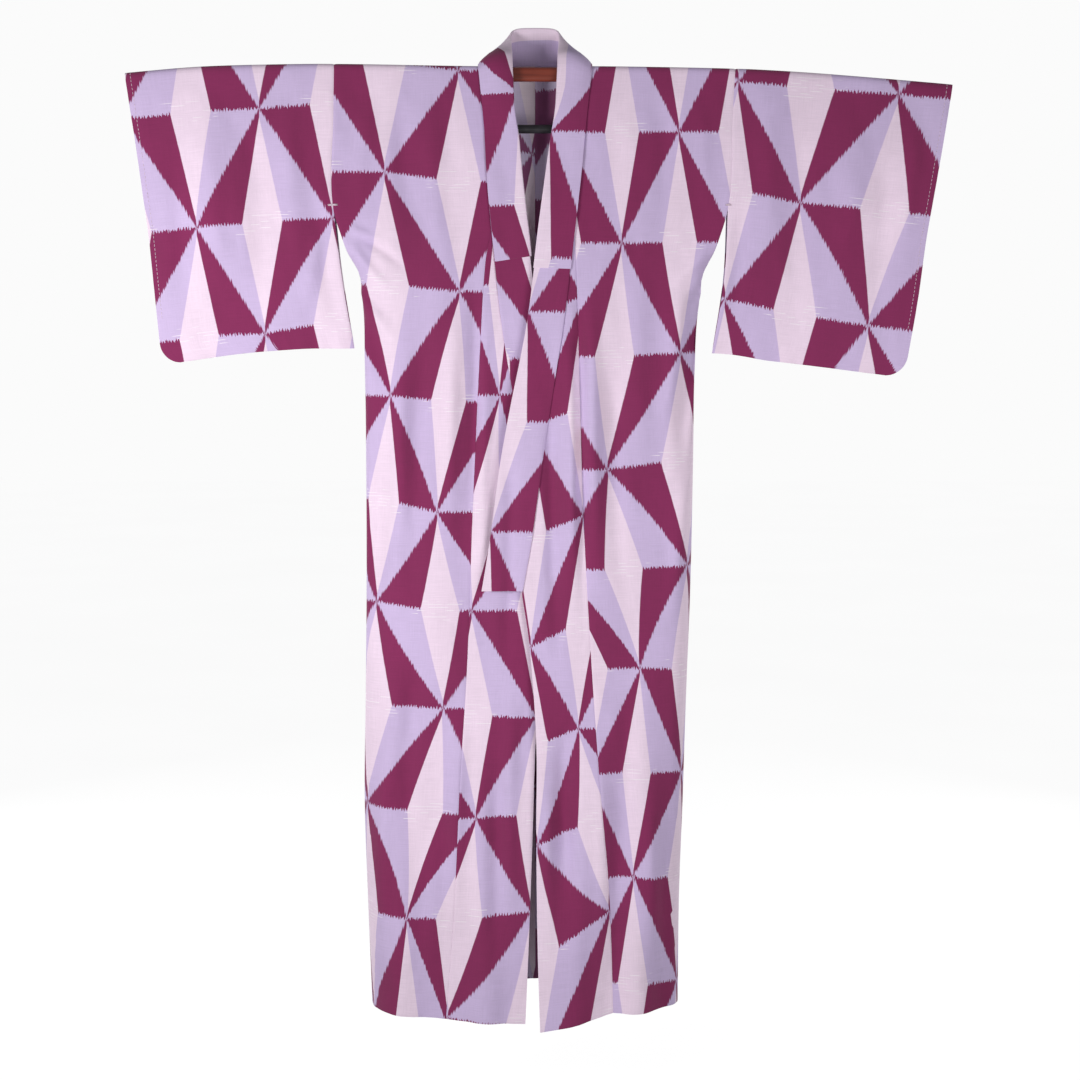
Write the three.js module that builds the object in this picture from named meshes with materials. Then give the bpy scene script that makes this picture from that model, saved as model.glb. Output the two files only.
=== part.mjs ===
// A cotton yukata hanging on a kimono hanger with two bars, in millimetres, +Z up.
// The origin is the middle of the wooden bar. The wearer's front faces -Y and the wearer's left is +X.
// Each piece that a maker cuts is a thin wall of cloth. The body and sleeve cloths run over the bar in one
// length, and are parted here at that fold into a front and a back piece.
import * as THREE from "three";

// ---------------------------------------------------------------- driving dimensions
const CLOTH = 1.2; // wall thickness of one layer of cloth
const BAND = 1.6; // the folded collar band
const COVER = 0.9; // the second collar laid over the band
const SEAM_GAP = 0.4; // between two sewn pieces
const COVER_GAP = 0.5; // between the band and the collar laid over it
const BAND_STAND = 1.6; // how far the thicker collar stands off the cloth that it is sewn to

const BAR_TALL = 23;
const BAR_DEEP = 12;
const BAR_STEPS = 16;
const BAR_ENDS = { right: -632, left: 642 };
const OBI_BAR = { radius: 7, z: -86, halfLength: 205, sides: 16 };
const LINK = { x: 150, wide: 12, deep: 4, gap: 0.7 };

const BODY_LENGTH = 1536; // shoulder fold to hem, down the side seam
const FRONT_WIDTH = 232; // side seam to overlap seam
const SLEEVE_JOIN = 228; // the length of sleeve sewn to the body
const SIDE_OPENING_END = 362; // where the side seam starts, below the shoulder fold
const OVERLAP_TIP = 266; // where the overlap piece starts, below the shoulder fold
const COLLAR_TIP = 842; // where the collar ends
const COVER_END = 316; // where the second collar ends
const HEM_EASE_FROM = 1230; // below this the hem line starts to differ from panel to panel
// The lapped fronts stand off their middle surface by lift. They part from it between the distances clearAt
// and fullAt from the centre, and between the depths startsBelow and fullBelow under the shoulder fold.
const LAP = { lift: 5.5, clearAt: 165, fullAt: 100, startsBelow: 130, fullBelow: 280 };
// The back neckline stands behind the bar. Its bulge spreads by the share spread of the depth below it and
// has settled at the depth settled.
const NECK = { halfWidth: 90, back: 44, rise: 17, spread: 0.7, settled: 300, drop: 0.3 };
const NECK_END = 0.5; // the neckline stops this far short of the shoulder fold's inner end
const SLEEVE_CORNER = 30; // radius of the sleeve's lower corner
const BAR_CLEAR = 0.6; // between the bar and the cloth that hangs over it
const FOLD_GAP = 0.4; // from the fold's middle to a front or back piece's upper edge
const FOLD_RADIUS = BAR_DEEP / 2 + BAR_CLEAR + CLOTH / 2; // cloth's middle surface over the bar
const FOLD_TOP = BAR_TALL / 2 + BAR_CLEAR + CLOTH / 2;
const FOLD_ARC = (Math.PI / 2) * FOLD_RADIUS;

// The bar bows down a little towards its ends: z of its middle at each x.
const BAR_BOW = [
  { x: -660, z: -11 },
  { x: -540, z: -1 },
  { x: -430, z: 2.5 },
  { x: -320, z: 3.5 },
  { x: -90, z: 0 },
  { x: 90, z: 0 },
  { x: 320, z: -4 },
  { x: 420, z: -9 },
  { x: 540, z: -18 },
  { x: 670, z: -29 },
];

// The hanging body at each height: half-widths of its outline, and how far its front and back stand
// off the bar's plane.
const BODY = [
  { z: 12, right: 321, left: 320, front: 7.2, back: 7.2 },
  { z: -60, right: 322, left: 316.5, front: 10, back: 9 },
  { z: -212, right: 323.5, left: 309.5, front: 17, back: 13 },
  { z: -346, right: 281, left: 268, front: 24, back: 17 },
  { z: -460, right: 276, left: 259, front: 32, back: 22 },
  { z: -634, right: 275, left: 257, front: 45, back: 32 },
  { z: -826, right: 276, left: 254, front: 58, back: 44 },
  { z: -1014, right: 279, left: 248, front: 68, back: 55 },
  { z: -1175, right: 282, left: 244, front: 75, back: 62 },
  { z: -1340, right: 278, left: 239, front: 80, back: 68 },
  { z: -1520, right: 272, left: 238, front: 85, back: 74 },
];

// Lines down the fronts, as distances from the centre towards each front's own side.
const COLLAR_SEAM = [
  { z: 12, right: 89.5, left: 90 },
  { z: -80, right: 81.5, left: 81 },
  { z: -149, right: 78, left: 75 },
  { z: -208, right: 73.5, left: 68.5 },
  { z: -266, right: 68, left: 61 },
  { z: -394, right: 54, left: 46 },
  { z: -548, right: 29, left: 22 },
  { z: -668, right: 8, left: 5 },
  { z: -746, right: -5, left: -6 },
  { z: -830, right: -20, left: -21 },
];
const OVERLAP_SEAM = [
  { z: -250, right: 71, left: 63 },
  { z: -300, right: 80, left: 66 },
  { z: -441, right: 89, left: 70.5 },
  { z: -700, right: 101, left: 78 },
  { z: -940, right: 110, left: 91 },
  { z: -1136, right: 122, left: 105 },
  { z: -1319, right: 131, left: 121 },
  { z: -1536, right: 148, left: 129 },
];
const FREE_EDGE = [
  { z: -830, right: -20, left: -21 },
  { z: -912, right: -13, left: -9 },
  { z: -1070, right: -1, left: 2 },
  { z: -1223, right: 4, left: 2 },
  { z: -1386, right: 10, left: 4 },
  { z: -1540, right: 17, left: 9 },
];
const BAND_WIDTH = [
  { z: 12, across: 54 },
  { z: -100, across: 54 },
  { z: -208, across: 57 },
  { z: -394, across: 59 },
  { z: -541, across: 65 },
  { z: -635, across: 68 },
  { z: -830, across: 66 },
];

// The band round the back of the neck: for each place of the sewn edge, where the free edge stands and how
// far the band rolls outwards between them.
const NECK_BAND = [
  { seamX: 0, freeX: 0, freeY: 43, freeZ: 77, roll: 1 },
  { seamX: 24, freeX: 22, freeY: 43, freeZ: 76.5, roll: 1.5 },
  { seamX: 41, freeX: 33, freeY: 41, freeZ: 74, roll: 3 },
  { seamX: 56, freeX: 38, freeY: 36, freeZ: 68.5, roll: 5 },
  { seamX: 69, freeX: 39.5, freeY: 28.5, freeZ: 59, roll: 8 },
  { seamX: 80, freeX: 39.5, freeY: 18.5, freeZ: 47.5, roll: 10 },
  { seamX: 87, freeX: 38.5, freeY: 7, freeZ: 38, roll: 11 },
];
// The band's free edge as it comes forward over the shoulder and settles on the front.
const SHOULDER_BAND = [
  { v: 0, x: 38, y: -4, rise: 18, roll: 10 },
  { v: 11, x: 37.5, y: -13, rise: 9, roll: 8 },
  { v: 30, x: 36.5, y: -17, rise: 4, roll: 5 },
  { v: 75, x: 34, y: -19, rise: 0, roll: 2 },
  { v: 125, x: 28, y: -18, rise: 0, roll: 0 },
];

const BAND_SETTLES = { from: 60, to: 160 };

// How much longer each front hangs below the side seam's hem.
const HEM_DROP = {
  right: { seam: 13, free: 20, back: -8 },
  left: { seam: 2, free: 31, back: -8 },
};

// Soft folds: a ridge where height is above nought and a trough where it is below, along a line from
// its upper end at x, z to its lower end at xEnd, zEnd. x is the distance towards the panel's own side.
const FRONT_FOLDS = [
  { side: "left", x: 178, z: -760, xEnd: 168, zEnd: -1560, wide: 30, height: 11 },
  { side: "left", x: 128, z: -900, xEnd: 126, zEnd: -1560, wide: 26, height: -10 },
  { side: "left", x: 70, z: -980, xEnd: 66, zEnd: -1560, wide: 28, height: 8 },
  { side: "left", x: 214, z: -980, xEnd: 208, zEnd: -1560, wide: 20, height: -8 },
  { side: "right", x: 84, z: -860, xEnd: 82, zEnd: -1560, wide: 28, height: 10 },
  { side: "right", x: 150, z: -800, xEnd: 166, zEnd: -1560, wide: 32, height: -9 },
  { side: "right", x: 212, z: -900, xEnd: 226, zEnd: -1560, wide: 26, height: 9 },
];
const FOLD_FULL_AT = 10 / 13; // the share of its length at which a fold has its full height
const SEAM_EASE = 0.2; // the share of the back's width over which its folds fade into the side seam
const FOLD_EASE = 0.7; // where the body turns to its sides, folds fade out
const BACK_FOLDS = [
  { side: "left", x: 62, z: -620, xEnd: 74, zEnd: -1560, wide: 34, height: 11 },
  { side: "left", x: 140, z: -760, xEnd: 150, zEnd: -1560, wide: 32, height: -12 },
  { side: "left", x: 200, z: -900, xEnd: 206, zEnd: -1560, wide: 24, height: 8 },
  { side: "right", x: 54, z: -700, xEnd: 60, zEnd: -1560, wide: 32, height: -9 },
  { side: "right", x: 126, z: -560, xEnd: 142, zEnd: -1560, wide: 36, height: 13 },
  { side: "right", x: 206, z: -860, xEnd: 214, zEnd: -1560, wide: 26, height: -9 },
];

// The sleeve at each distance below its fold: where its cuff hangs, and its loose inner edge below the part
// sewn to the body.
const SLEEVE = {
  right: {
    lengthAtSeam: 453,
    lengthAtCuff: 465,
    cuff: [
      { v: 0, x: 656 },
      { v: 112, x: 640 },
      { v: 228, x: 626 },
      { v: 340, x: 616.5 },
      { v: 465, x: 606 },
    ],
    looseEdge: [
      { v: 228, x: 323.5 },
      { v: 340, x: 311 },
      { v: 465, x: 291 },
    ],
  },
  left: {
    lengthAtSeam: 461,
    lengthAtCuff: 468,
    cuff: [
      { v: 0, x: 668 },
      { v: 112, x: 651 },
      { v: 228, x: 633 },
      { v: 340, x: 620 },
      { v: 468, x: 600 },
    ],
    looseEdge: [
      { v: 228, x: 309.5 },
      { v: 340, x: 305 },
      { v: 468, x: 286 },
    ],
  },
};
// How far the sleeve's front and back stand off the bar's plane: at the seam side and at the cuff, which
// is open above and sewn shut below.
const SLEEVE_DEPTH = [
  { v: 0, front: 7.2, back: 7.2, cuff: 7.2 },
  { v: 75, front: 10, back: 9, cuff: 9.5 },
  { v: 180, front: 15, back: 12, cuff: 11 },
  { v: 228, front: 17, back: 13, cuff: 7 },
  { v: 270, front: 16.5, back: 12, cuff: 1.4 },
  { v: 350, front: 14, back: 10, cuff: 0.75 },
  { v: 425, front: 7, back: 5, cuff: 0.75 },
  { v: 470, front: 0.75, back: 0.75, cuff: 0.75 },
];
const SLEEVE_DEPTH_END = 470;
const SLEEVE_BELLY = 5; // how much further its middle stands out
const BOW_TAKEN_UP = 1 / 3; // the share of its width over which a sleeve takes up the bar's bow

// Rows of the panels, as distances below the shoulder fold.
const FOLD_ROWS = [0, 1 / 3, 2 / 3, 1].map((part) => part * FOLD_ARC);
const JOIN_ROWS = [...FOLD_ROWS, 30, 75, 125, 180, SLEEVE_JOIN];
const BODY_ROWS = [...JOIN_ROWS, OVERLAP_TIP, 286, COVER_END, SIDE_OPENING_END, 410, 475, 560, 650, 750,
  COLLAR_TIP, 930, 1030, 1130, HEM_EASE_FROM, 1330, 1430, BODY_LENGTH];
const SLEEVE_ROWS = [...JOIN_ROWS, 284, 340, 390, 425];
const SLEEVE_LAST_ROW = 12; // above the sleeve's lower edge
// Columns of the panels: in shares of the width, and across the neck as distances from centre back.
const FRONT_COLUMNS = 7;
const OVERLAP_COLUMNS = 3;
const SLEEVE_COLUMNS = 8;
const NECK_COLUMNS = [0, 30, 58, 80, NECK.halfWidth];
const BACK_COLUMNS = [0.42, 0.57, 0.72, 0.87, 1];
const BAND_COLUMNS = [0, 1 / 3, 2 / 3, 1];

const COLOURS = {
  cloth: { color: 0xcbb3d6, roughness: 0.9, metalness: 0 },
  overlap: { color: 0xd9cbe0, roughness: 0.9, metalness: 0 },
  collar: { color: 0x9a3c6c, roughness: 0.9, metalness: 0 },
  wood: { color: 0x8a3f1f, roughness: 0.5, metalness: 0 },
  black: { color: 0x17161a, roughness: 0.45, metalness: 0 },
};

// ---------------------------------------------------------------- helpers
const SIGN = { right: -1, left: 1 };
const clamp01 = (t) => Math.min(1, Math.max(0, t));
const smooth = (t) => clamp01(t) ** 2 * (3 - 2 * clamp01(t));
const lerp = THREE.MathUtils.lerp;
const point = (x, y, z) => new THREE.Vector3(x, y, z);

// A column of a table at a place between its rows, on a smooth curve through them.
function read(table, by, column, at) {
  const rows = table[0][by] < table[table.length - 1][by] ? table : [...table].reverse();
  const last = rows.length - 1;
  if (at <= rows[0][by]) return rows[0][column];
  if (at >= rows[last][by]) return rows[last][column];
  const k = rows.findIndex((row, i) => i < last && at <= rows[i + 1][by]);
  const slope = (i) => {
    const a = rows[Math.max(0, i - 1)];
    const b = rows[Math.min(last, i + 1)];
    return (b[column] - a[column]) / (b[by] - a[by]);
  };
  const span = rows[k + 1][by] - rows[k][by];
  const t = (at - rows[k][by]) / span;
  const rise = rows[k + 1][column] - rows[k][column];
  const s0 = slope(k) * span;
  const s1 = slope(k + 1) * span;
  return rows[k][column] + s0 * t + (3 * rise - 2 * s0 - s1) * t ** 2 + (s0 + s1 - 2 * rise) * t ** 3;
}

// Height below the shoulder fold turned into z, where the cloth hangs straight.
const heightAt = (v) => FOLD_TOP - FOLD_RADIUS + FOLD_ARC - v;

// ---------------------------------------------------------------- the hanging body
// Half of the body's level section, from centre front round the side to centre back, with the length
// of cloth up to each point.
const SECTION_STEPS = 160;
const SQUARENESS = 3;
function section(side, z) {
  const halfWidth = read(BODY, "z", side, z);
  const front = read(BODY, "z", "front", z);
  const back = read(BODY, "z", "back", z);
  const points = [];
  let length = 0;
  for (let i = 0; i <= SECTION_STEPS; i++) {
    const angle = (Math.PI * i) / SECTION_STEPS;
    const across = Math.sin(angle) ** (2 / SQUARENESS);
    const deep = Math.abs(Math.cos(angle)) ** (2 / SQUARENESS);
    const x = halfWidth * across;
    const y = angle < Math.PI / 2 ? -front * deep : back * deep;
    const before = points[points.length - 1];
    if (before) length += Math.hypot(x - before.x, y - before.y);
    points.push({ x, y, length });
  }
  return points;
}
// The point of a section where a column has a given value.
function alongSection(points, column, at) {
  const found = points.findIndex((p) => p[column] > at);
  const i = Math.min(points.length - 1, Math.max(1, found < 0 ? points.length - 1 : found));
  const a = points[i - 1];
  const b = points[i];
  const t = (at - a[column]) / (b[column] - a[column] || 1);
  return {
    x: lerp(a.x, b.x, t),
    y: lerp(a.y, b.y, t),
    length: lerp(a.length, b.length, t),
  };
}

// How far the folds of a table push the cloth outwards at x, z.
function foldHeight(folds, side, x, z) {
  let height = 0;
  for (const fold of folds) {
    if (fold.side !== side || z > fold.z) continue;
    const along = (fold.z - z) / (fold.z - fold.zEnd);
    const away = (x - lerp(fold.x, fold.xEnd, along)) / fold.wide;
    height += fold.height * smooth(along / FOLD_FULL_AT) * Math.exp(-(away ** 2));
  }
  return height;
}

// How far round from the flat, sleeved part of the body (0) to its hanging tube (1) a height is.
function roundness(v) {
  return clamp01((v - SLEEVE_JOIN) / (SIDE_OPENING_END - SLEEVE_JOIN)) ** 2;
}

const innerEdge = (side, v) =>
  v <= OVERLAP_TIP
    ? read(COLLAR_SEAM, "z", side, heightAt(v))
    : read(OVERLAP_SEAM, "z", side, heightAt(v));

// A point of a front between centre and silhouette, at distance x from the centre towards its own side.
// The left front laps over the right one.
function onFront(side, x, v) {
  const z = heightAt(v);
  const halfWidth = read(BODY, "z", x < 0 ? other(side) : side, z);
  const front = read(BODY, "z", "front", z);
  const rounding = (1 - (Math.abs(x) / halfWidth) ** SQUARENESS) ** (1 / SQUARENESS);
  const depth = front * lerp(1, rounding, roundness(v)) + foldHeight(FRONT_FOLDS, side, x, z);
  return point(SIGN[side] * x, -depth - lapLift(side, x, v), z);
}
const other = (side) => (side === "left" ? "right" : "left");
function lapLift(side, x, v) {
  const across = smooth((LAP.clearAt - x) / (LAP.clearAt - LAP.fullAt));
  const down = smooth((v - LAP.startsBelow) / (LAP.fullBelow - LAP.startsBelow));
  return SIGN[side] * LAP.lift * across * down;
}

// The first rows go round the bar, and the bar's bow fades out of the cloth below it.
function overBar(p, v, towards) {
  const bow = read(BAR_BOW, "x", "z", p.x) * (1 - smooth(v / SLEEVE_JOIN));
  if (v >= FOLD_ARC) return p.setZ(heightAt(v) + bow);
  const turn = v / FOLD_RADIUS;
  const y = Math.max(FOLD_GAP, FOLD_RADIUS * Math.sin(turn));
  return point(p.x, towards * y, FOLD_TOP - FOLD_RADIUS + FOLD_RADIUS * Math.cos(turn) + bow);
}

function hemDrop(v, drop) {
  return drop * clamp01((v - HEM_EASE_FROM) / (BODY_LENGTH - HEM_EASE_FROM)) ** 1.5;
}

// A front from its inner edge (part 0) to the sleeve and side seam (part 1).
function frontPoint(side, part, v) {
  const z = heightAt(v);
  const inner = innerEdge(side, v);
  const flatX = lerp(inner + SEAM_GAP / 2, read(BODY, "z", side, z) - SEAM_GAP / 2, part);
  const flat = onFront(side, flatX, v);
  const drop = hemDrop(v, lerp(HEM_DROP[side].seam, 0, part));
  if (v <= SLEEVE_JOIN) return overBar(flat, v, -1);
  const outline = section(side, z);
  const start = alongSection(outline, "x", inner).length + SEAM_GAP / 2;
  const at = alongSection(outline, "length", start + part * (FRONT_WIDTH - SEAM_GAP));
  const depth = read(BODY, "z", "front", z);
  const fold = foldHeight(FRONT_FOLDS, side, at.x, z) * smooth(-at.y / depth / FOLD_EASE);
  const tube = point(SIGN[side] * at.x, at.y - fold - lapLift(side, at.x, v), z);
  const flatPlace = point(SIGN[side] * flatX, -depth - lapLift(side, flatX, v), z);
  return flatPlace.lerp(tube, roundness(v)).setZ(z - drop);
}

// An overlap piece from its free or collar edge (part 0) to its seam with the front (part 1).
function overlapPoint(side, part, v) {
  const z = heightAt(v);
  const outer = innerEdge(side, v);
  const inner = v <= COLLAR_TIP ? read(COLLAR_SEAM, "z", side, z) : read(FREE_EDGE, "z", side, z);
  const x = lerp(Math.min(inner, outer - 2) + SEAM_GAP / 2, outer - SEAM_GAP / 2, part);
  const drop = hemDrop(v, lerp(HEM_DROP[side].free, HEM_DROP[side].seam, part));
  const p = onFront(side, x, v);
  return p.setZ(p.z - drop);
}

// The back neckline stands behind the bar and settles into the back below it.
function neckBulge(x, v) {
  const reach = NECK.halfWidth + NECK.spread * v;
  const inside = Math.max(0, 1 - (x / reach) ** 2) ** 0.5;
  return NECK.back * inside * (1 - smooth(v / NECK.settled));
}

// A back half from centre back (part 0) to the sleeve and side seam (part 1).
function backPoint(side, part, v) {
  const z = heightAt(v);
  const top = read(BODY, "z", side, z);
  const flatX = lerp(SEAM_GAP / 2, top - SEAM_GAP / 2, part);
  const inNeck = smooth((NECK.halfWidth - flatX) / NECK.halfWidth);
  if (v < FOLD_ARC && flatX < NECK.halfWidth - NECK_END) {
    const raised = lerp(FOLD_TOP, NECK.rise, inNeck);
    return point(SIGN[side] * flatX, neckBulge(flatX, 0), raised - v);
  }
  const back = read(BODY, "z", "back", z);
  const bulge = neckBulge(flatX, v);
  const flat = point(SIGN[side] * flatX, Math.max(back, bulge), z);
  if (v <= SLEEVE_JOIN) {
    const over = overBar(flat, v, 1);
    return v < FOLD_ARC ? over : over.setY(Math.hypot(back, bulge * inNeck ** NECK.drop));
  }
  const outline = section(side, z);
  const whole = outline[outline.length - 1].length;
  const seam = alongSection(outline, "x", innerEdge(side, v)).length + FRONT_WIDTH;
  const reach = whole - seam - SEAM_GAP / 2;
  const at = alongSection(outline, "length", whole - SEAM_GAP / 2 - part * (reach - SEAM_GAP / 2));
  const eased = smooth(at.y / back / FOLD_EASE) * smooth((1 - part) / SEAM_EASE);
  const fold = foldHeight(BACK_FOLDS, side, at.x, z) * eased;
  const tube = point(SIGN[side] * at.x, at.y + fold, z);
  flat.setY(Math.hypot(back, bulge * inNeck ** NECK.drop));
  const drop = hemDrop(v, lerp(HEM_DROP[side].back, 0, part));
  return flat.lerp(tube, roundness(v)).setZ(z - drop);
}

// ---------------------------------------------------------------- sleeves
// A sleeve's front (towards -1) or back (towards 1) layer, from its seam side (part 0) to its cuff (part 1).
function sleevePoint(side, towards, part, down) {
  const { cuff: cuffLine, looseEdge, lengthAtSeam, lengthAtCuff } = SLEEVE[side];
  const length = lerp(lengthAtSeam, lengthAtCuff, part);
  const v = Math.min(down, length);
  const onBody = (at) => read(BODY, "z", side, heightAt(at));
  const seamAt = (at) => (at <= SLEEVE_JOIN ? onBody(at) : read(looseEdge, "v", "x", at));
  const seam = seamAt(v) + SEAM_GAP / 2;
  const below = length - v;
  const corner = Math.max(0, SLEEVE_CORNER - below);
  const cuff = read(cuffLine, "v", "x", v) - SLEEVE_CORNER + Math.sqrt(SLEEVE_CORNER ** 2 - corner ** 2);
  const x = lerp(seam, cuff, part);
  const foldX = lerp(seamAt(0), read(cuffLine, "v", "x", 0), part);
  const bow = read(BAR_BOW, "x", "z", SIGN[side] * foldX);
  const fade = v <= SLEEVE_JOIN ? 1 - smooth(v / SLEEVE_JOIN) : 0;
  const hang = lerp(bow * fade, bow, smooth(part / BOW_TAKEN_UP));
  if (v < FOLD_ARC) {
    const turn = v / FOLD_RADIUS;
    const y = Math.max(FOLD_GAP, FOLD_RADIUS * Math.sin(turn));
    return point(SIGN[side] * x, towards * y, FOLD_TOP - FOLD_RADIUS + FOLD_RADIUS * Math.cos(turn) + hang);
  }
  const scaled = (v / length) * SLEEVE_DEPTH_END;
  const atSeam = read(SLEEVE_DEPTH, "v", towards < 0 ? "front" : "back", v < SLEEVE_JOIN ? v : scaled);
  const atCuff = read(SLEEVE_DEPTH, "v", "cuff", v < SLEEVE_JOIN ? v : scaled);
  const lengthwise = Math.sin(Math.PI * Math.min(1, scaled / SLEEVE_DEPTH_END));
  const belly = SLEEVE_BELLY * Math.sin(Math.PI * part) * lengthwise;
  return point(SIGN[side] * x, towards * (lerp(atSeam, atCuff, part) + belly), heightAt(v) + hang);
}

// ---------------------------------------------------------------- collar
// The collar band's sewn and free edge at each station from the left tip round the neck to the right tip.
function bandStations(lowest) {
  const rows = BODY_ROWS.filter((v) => v <= lowest);
  const half = (side) => {
    const neck = NECK_BAND.map((row) => {
      const rise = lerp(FOLD_TOP, NECK.rise, smooth((NECK.halfWidth - row.seamX) / NECK.halfWidth));
      return {
        seam: point(SIGN[side] * row.seamX, neckBulge(row.seamX, 0), rise + BAND_STAND + SEAM_GAP),
        free: point(SIGN[side] * row.freeX, row.freeY, row.freeZ),
        roll: row.roll,
      };
    });
    const front = rows.map((v) => {
      const z = heightAt(v);
      const seamX = read(COLLAR_SEAM, "z", side, z) - SEAM_GAP / 2;
      const width = read(BAND_WIDTH, "z", "across", z);
      const seam = overBar(onFront(side, seamX, v), v, -1);
      seam.y -= BAND_STAND * smooth(v / FOLD_ARC);
      seam.z += (BAND_STAND + SEAM_GAP) * (1 - smooth(v / FOLD_ARC));
      const free = onFront(side, seamX - width, v);
      free.y -= BAND_STAND;
      // Over the shoulder the free edge is still coming down from the back of the neck.
      const held = (column) => read(SHOULDER_BAND, "v", column, v);
      const above = point(SIGN[side] * held("x"), held("y"), seam.z + held("rise"));
      above.lerp(free, smooth((v - BAND_SETTLES.from) / (BAND_SETTLES.to - BAND_SETTLES.from)));
      return { seam, free: above, roll: held("roll") };
    });
    return [...neck, ...front];
  };
  const left = half("left");
  const right = half("right");
  return [...left.reverse(), ...right.slice(1)];
}
// The band's points, from its sewn edge (part 0) to its free edge (part 1), rolled outwards between them.
function bandGrid(lowest) {
  const stations = bandStations(lowest);
  const flat = stations.map((s) => BAND_COLUMNS.map((part) => s.seam.clone().lerp(s.free, part)));
  return flat.map((row, i) =>
    row.map((p, j) => {
      const part = BAND_COLUMNS[j];
      return p.clone().addScaledVector(gridNormal(flat, i, j), stations[i].roll * 4 * part * (1 - part));
    }),
  );
}

// ---------------------------------------------------------------- meshes
function solid(name, positions, faces, look) {
  const geometry = new THREE.BufferGeometry();
  const numbers = positions.flatMap((p) => p.toArray());
  geometry.setAttribute("position", new THREE.Float32BufferAttribute(numbers, 3));
  geometry.setIndex(faces.flat());
  geometry.computeVertexNormals();
  const mesh = new THREE.Mesh(geometry, new THREE.MeshStandardMaterial(look));
  mesh.name = name;
  return mesh;
}

// The unit direction out of a grid of points at one of them, from its neighbours.
function gridNormal(grid, i, j) {
  const rows = grid.length - 1;
  const columns = grid[0].length - 1;
  const down = grid[Math.min(rows, i + 1)][j].clone().sub(grid[Math.max(0, i - 1)][j]);
  const over = grid[i][Math.min(columns, j + 1)].clone().sub(grid[i][Math.max(0, j - 1)]);
  return down.cross(over).normalize();
}

// Moves a grid's points out along its own directions.
const movedOut = (grid, by) =>
  grid.map((row, i) => row.map((p, j) => p.clone().addScaledVector(gridNormal(grid, i, j), by)));

// A closed wall between two grids with the same rows and columns. A face is split along its other
// diagonal where turned says so.
function wallBetween(name, outer, inner, look, turned = () => false) {
  const rows = outer.length;
  const columns = outer[0].length;
  const positions = [...outer.flat(), ...inner.flat()];
  const at = (layer, i, j) => layer * rows * columns + i * columns + j;
  const faces = [];
  const quad = (a, b, c, d) => faces.push([a, b, c], [a, c, d]);
  for (let i = 0; i + 1 < rows; i++)
    for (let j = 0; j + 1 < columns; j++) {
      const corners = [[i, j], [i + 1, j], [i + 1, j + 1], [i, j + 1]];
      if (turned(i, j)) corners.push(corners.shift());
      const [a, b, c, d] = corners;
      quad(at(0, ...a), at(0, ...b), at(0, ...c), at(0, ...d));
      quad(at(1, ...a), at(1, ...d), at(1, ...c), at(1, ...b));
    }
  for (let i = 0; i + 1 < rows; i++) {
    quad(at(0, i, 0), at(1, i, 0), at(1, i + 1, 0), at(0, i + 1, 0));
    const j = columns - 1;
    quad(at(0, i, j), at(0, i + 1, j), at(1, i + 1, j), at(1, i, j));
  }
  for (let j = 0; j + 1 < columns; j++) {
    quad(at(0, 0, j), at(0, 0, j + 1), at(1, 0, j + 1), at(1, 0, j));
    const i = rows - 1;
    quad(at(0, i, j), at(1, i, j), at(1, i, j + 1), at(0, i, j + 1));
  }
  return solid(name, positions, faces, look);
}
// A cloth wall with the grid as its middle surface.
const cloth = (name, grid, thick, look, turned) =>
  wallBetween(name, movedOut(grid, thick / 2), movedOut(grid, -thick / 2), look, turned);

// A closed bar through rings of the same number of points.
function loft(name, rings, look) {
  const around = rings[0].length;
  const positions = rings.flat();
  const faces = [];
  for (let i = 0; i + 1 < rings.length; i++)
    for (let k = 0; k < around; k++) {
      const next = (k + 1) % around;
      const [a, b] = [i * around + k, i * around + next];
      faces.push([a, b + around, b], [a, a + around, b + around]);
    }
  const end = (rings.length - 1) * around;
  for (let k = 1; k + 1 < around; k++) faces.push([0, k, k + 1], [end, end + k + 1, end + k]);
  return solid(name, positions, faces, look);
}

// ---------------------------------------------------------------- pieces
const evenly = (count) => Array.from({ length: count + 1 }, (_, i) => i / count);
const gridOf = (rows, columns, place) => rows.map((v) => columns.map((part) => place(part, v)));
// Mirrored sides run their columns the other way, so that every wall faces out.
const facing = (grid, flip) => (flip ? grid.map((row) => [...row].reverse()) : grid);

function bodyPieces(side) {
  const flip = side === "right";
  const overlapRows = BODY_ROWS.filter((v) => v > OVERLAP_TIP);
  const backColumns = [
    ...NECK_COLUMNS.map((x) => x / read(BODY, "z", side, 12)),
    ...BACK_COLUMNS,
  ];
  const front = gridOf(BODY_ROWS, evenly(FRONT_COLUMNS), (part, v) => frontPoint(side, part, v));
  const overlap = gridOf(overlapRows, evenly(OVERLAP_COLUMNS), (part, v) => overlapPoint(side, part, v));
  const back = gridOf(BODY_ROWS, backColumns, (part, v) => backPoint(side, part, v));
  return [
    cloth("front_" + side, facing(front, flip), CLOTH, COLOURS.cloth),
    cloth("overlap_" + side, facing(overlap, flip), CLOTH, COLOURS.overlap),
    cloth("back_" + side, facing(back, !flip), CLOTH, COLOURS.cloth),
  ];
}

function sleevePieces(side) {
  const flip = side === "right";
  const layer = (towards) => {
    const longest = SLEEVE[side].lengthAtCuff;
    const rows = [...SLEEVE_ROWS, longest - SLEEVE_LAST_ROW, longest];
    return gridOf(rows, evenly(SLEEVE_COLUMNS), (part, v) => sleevePoint(side, towards, part, v));
  };
  return [
    cloth("sleeve_front_" + side, facing(layer(-1), flip), CLOTH, COLOURS.cloth),
    cloth("sleeve_back_" + side, facing(layer(1), !flip), CLOTH, COLOURS.cloth),
  ];
}

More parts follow.
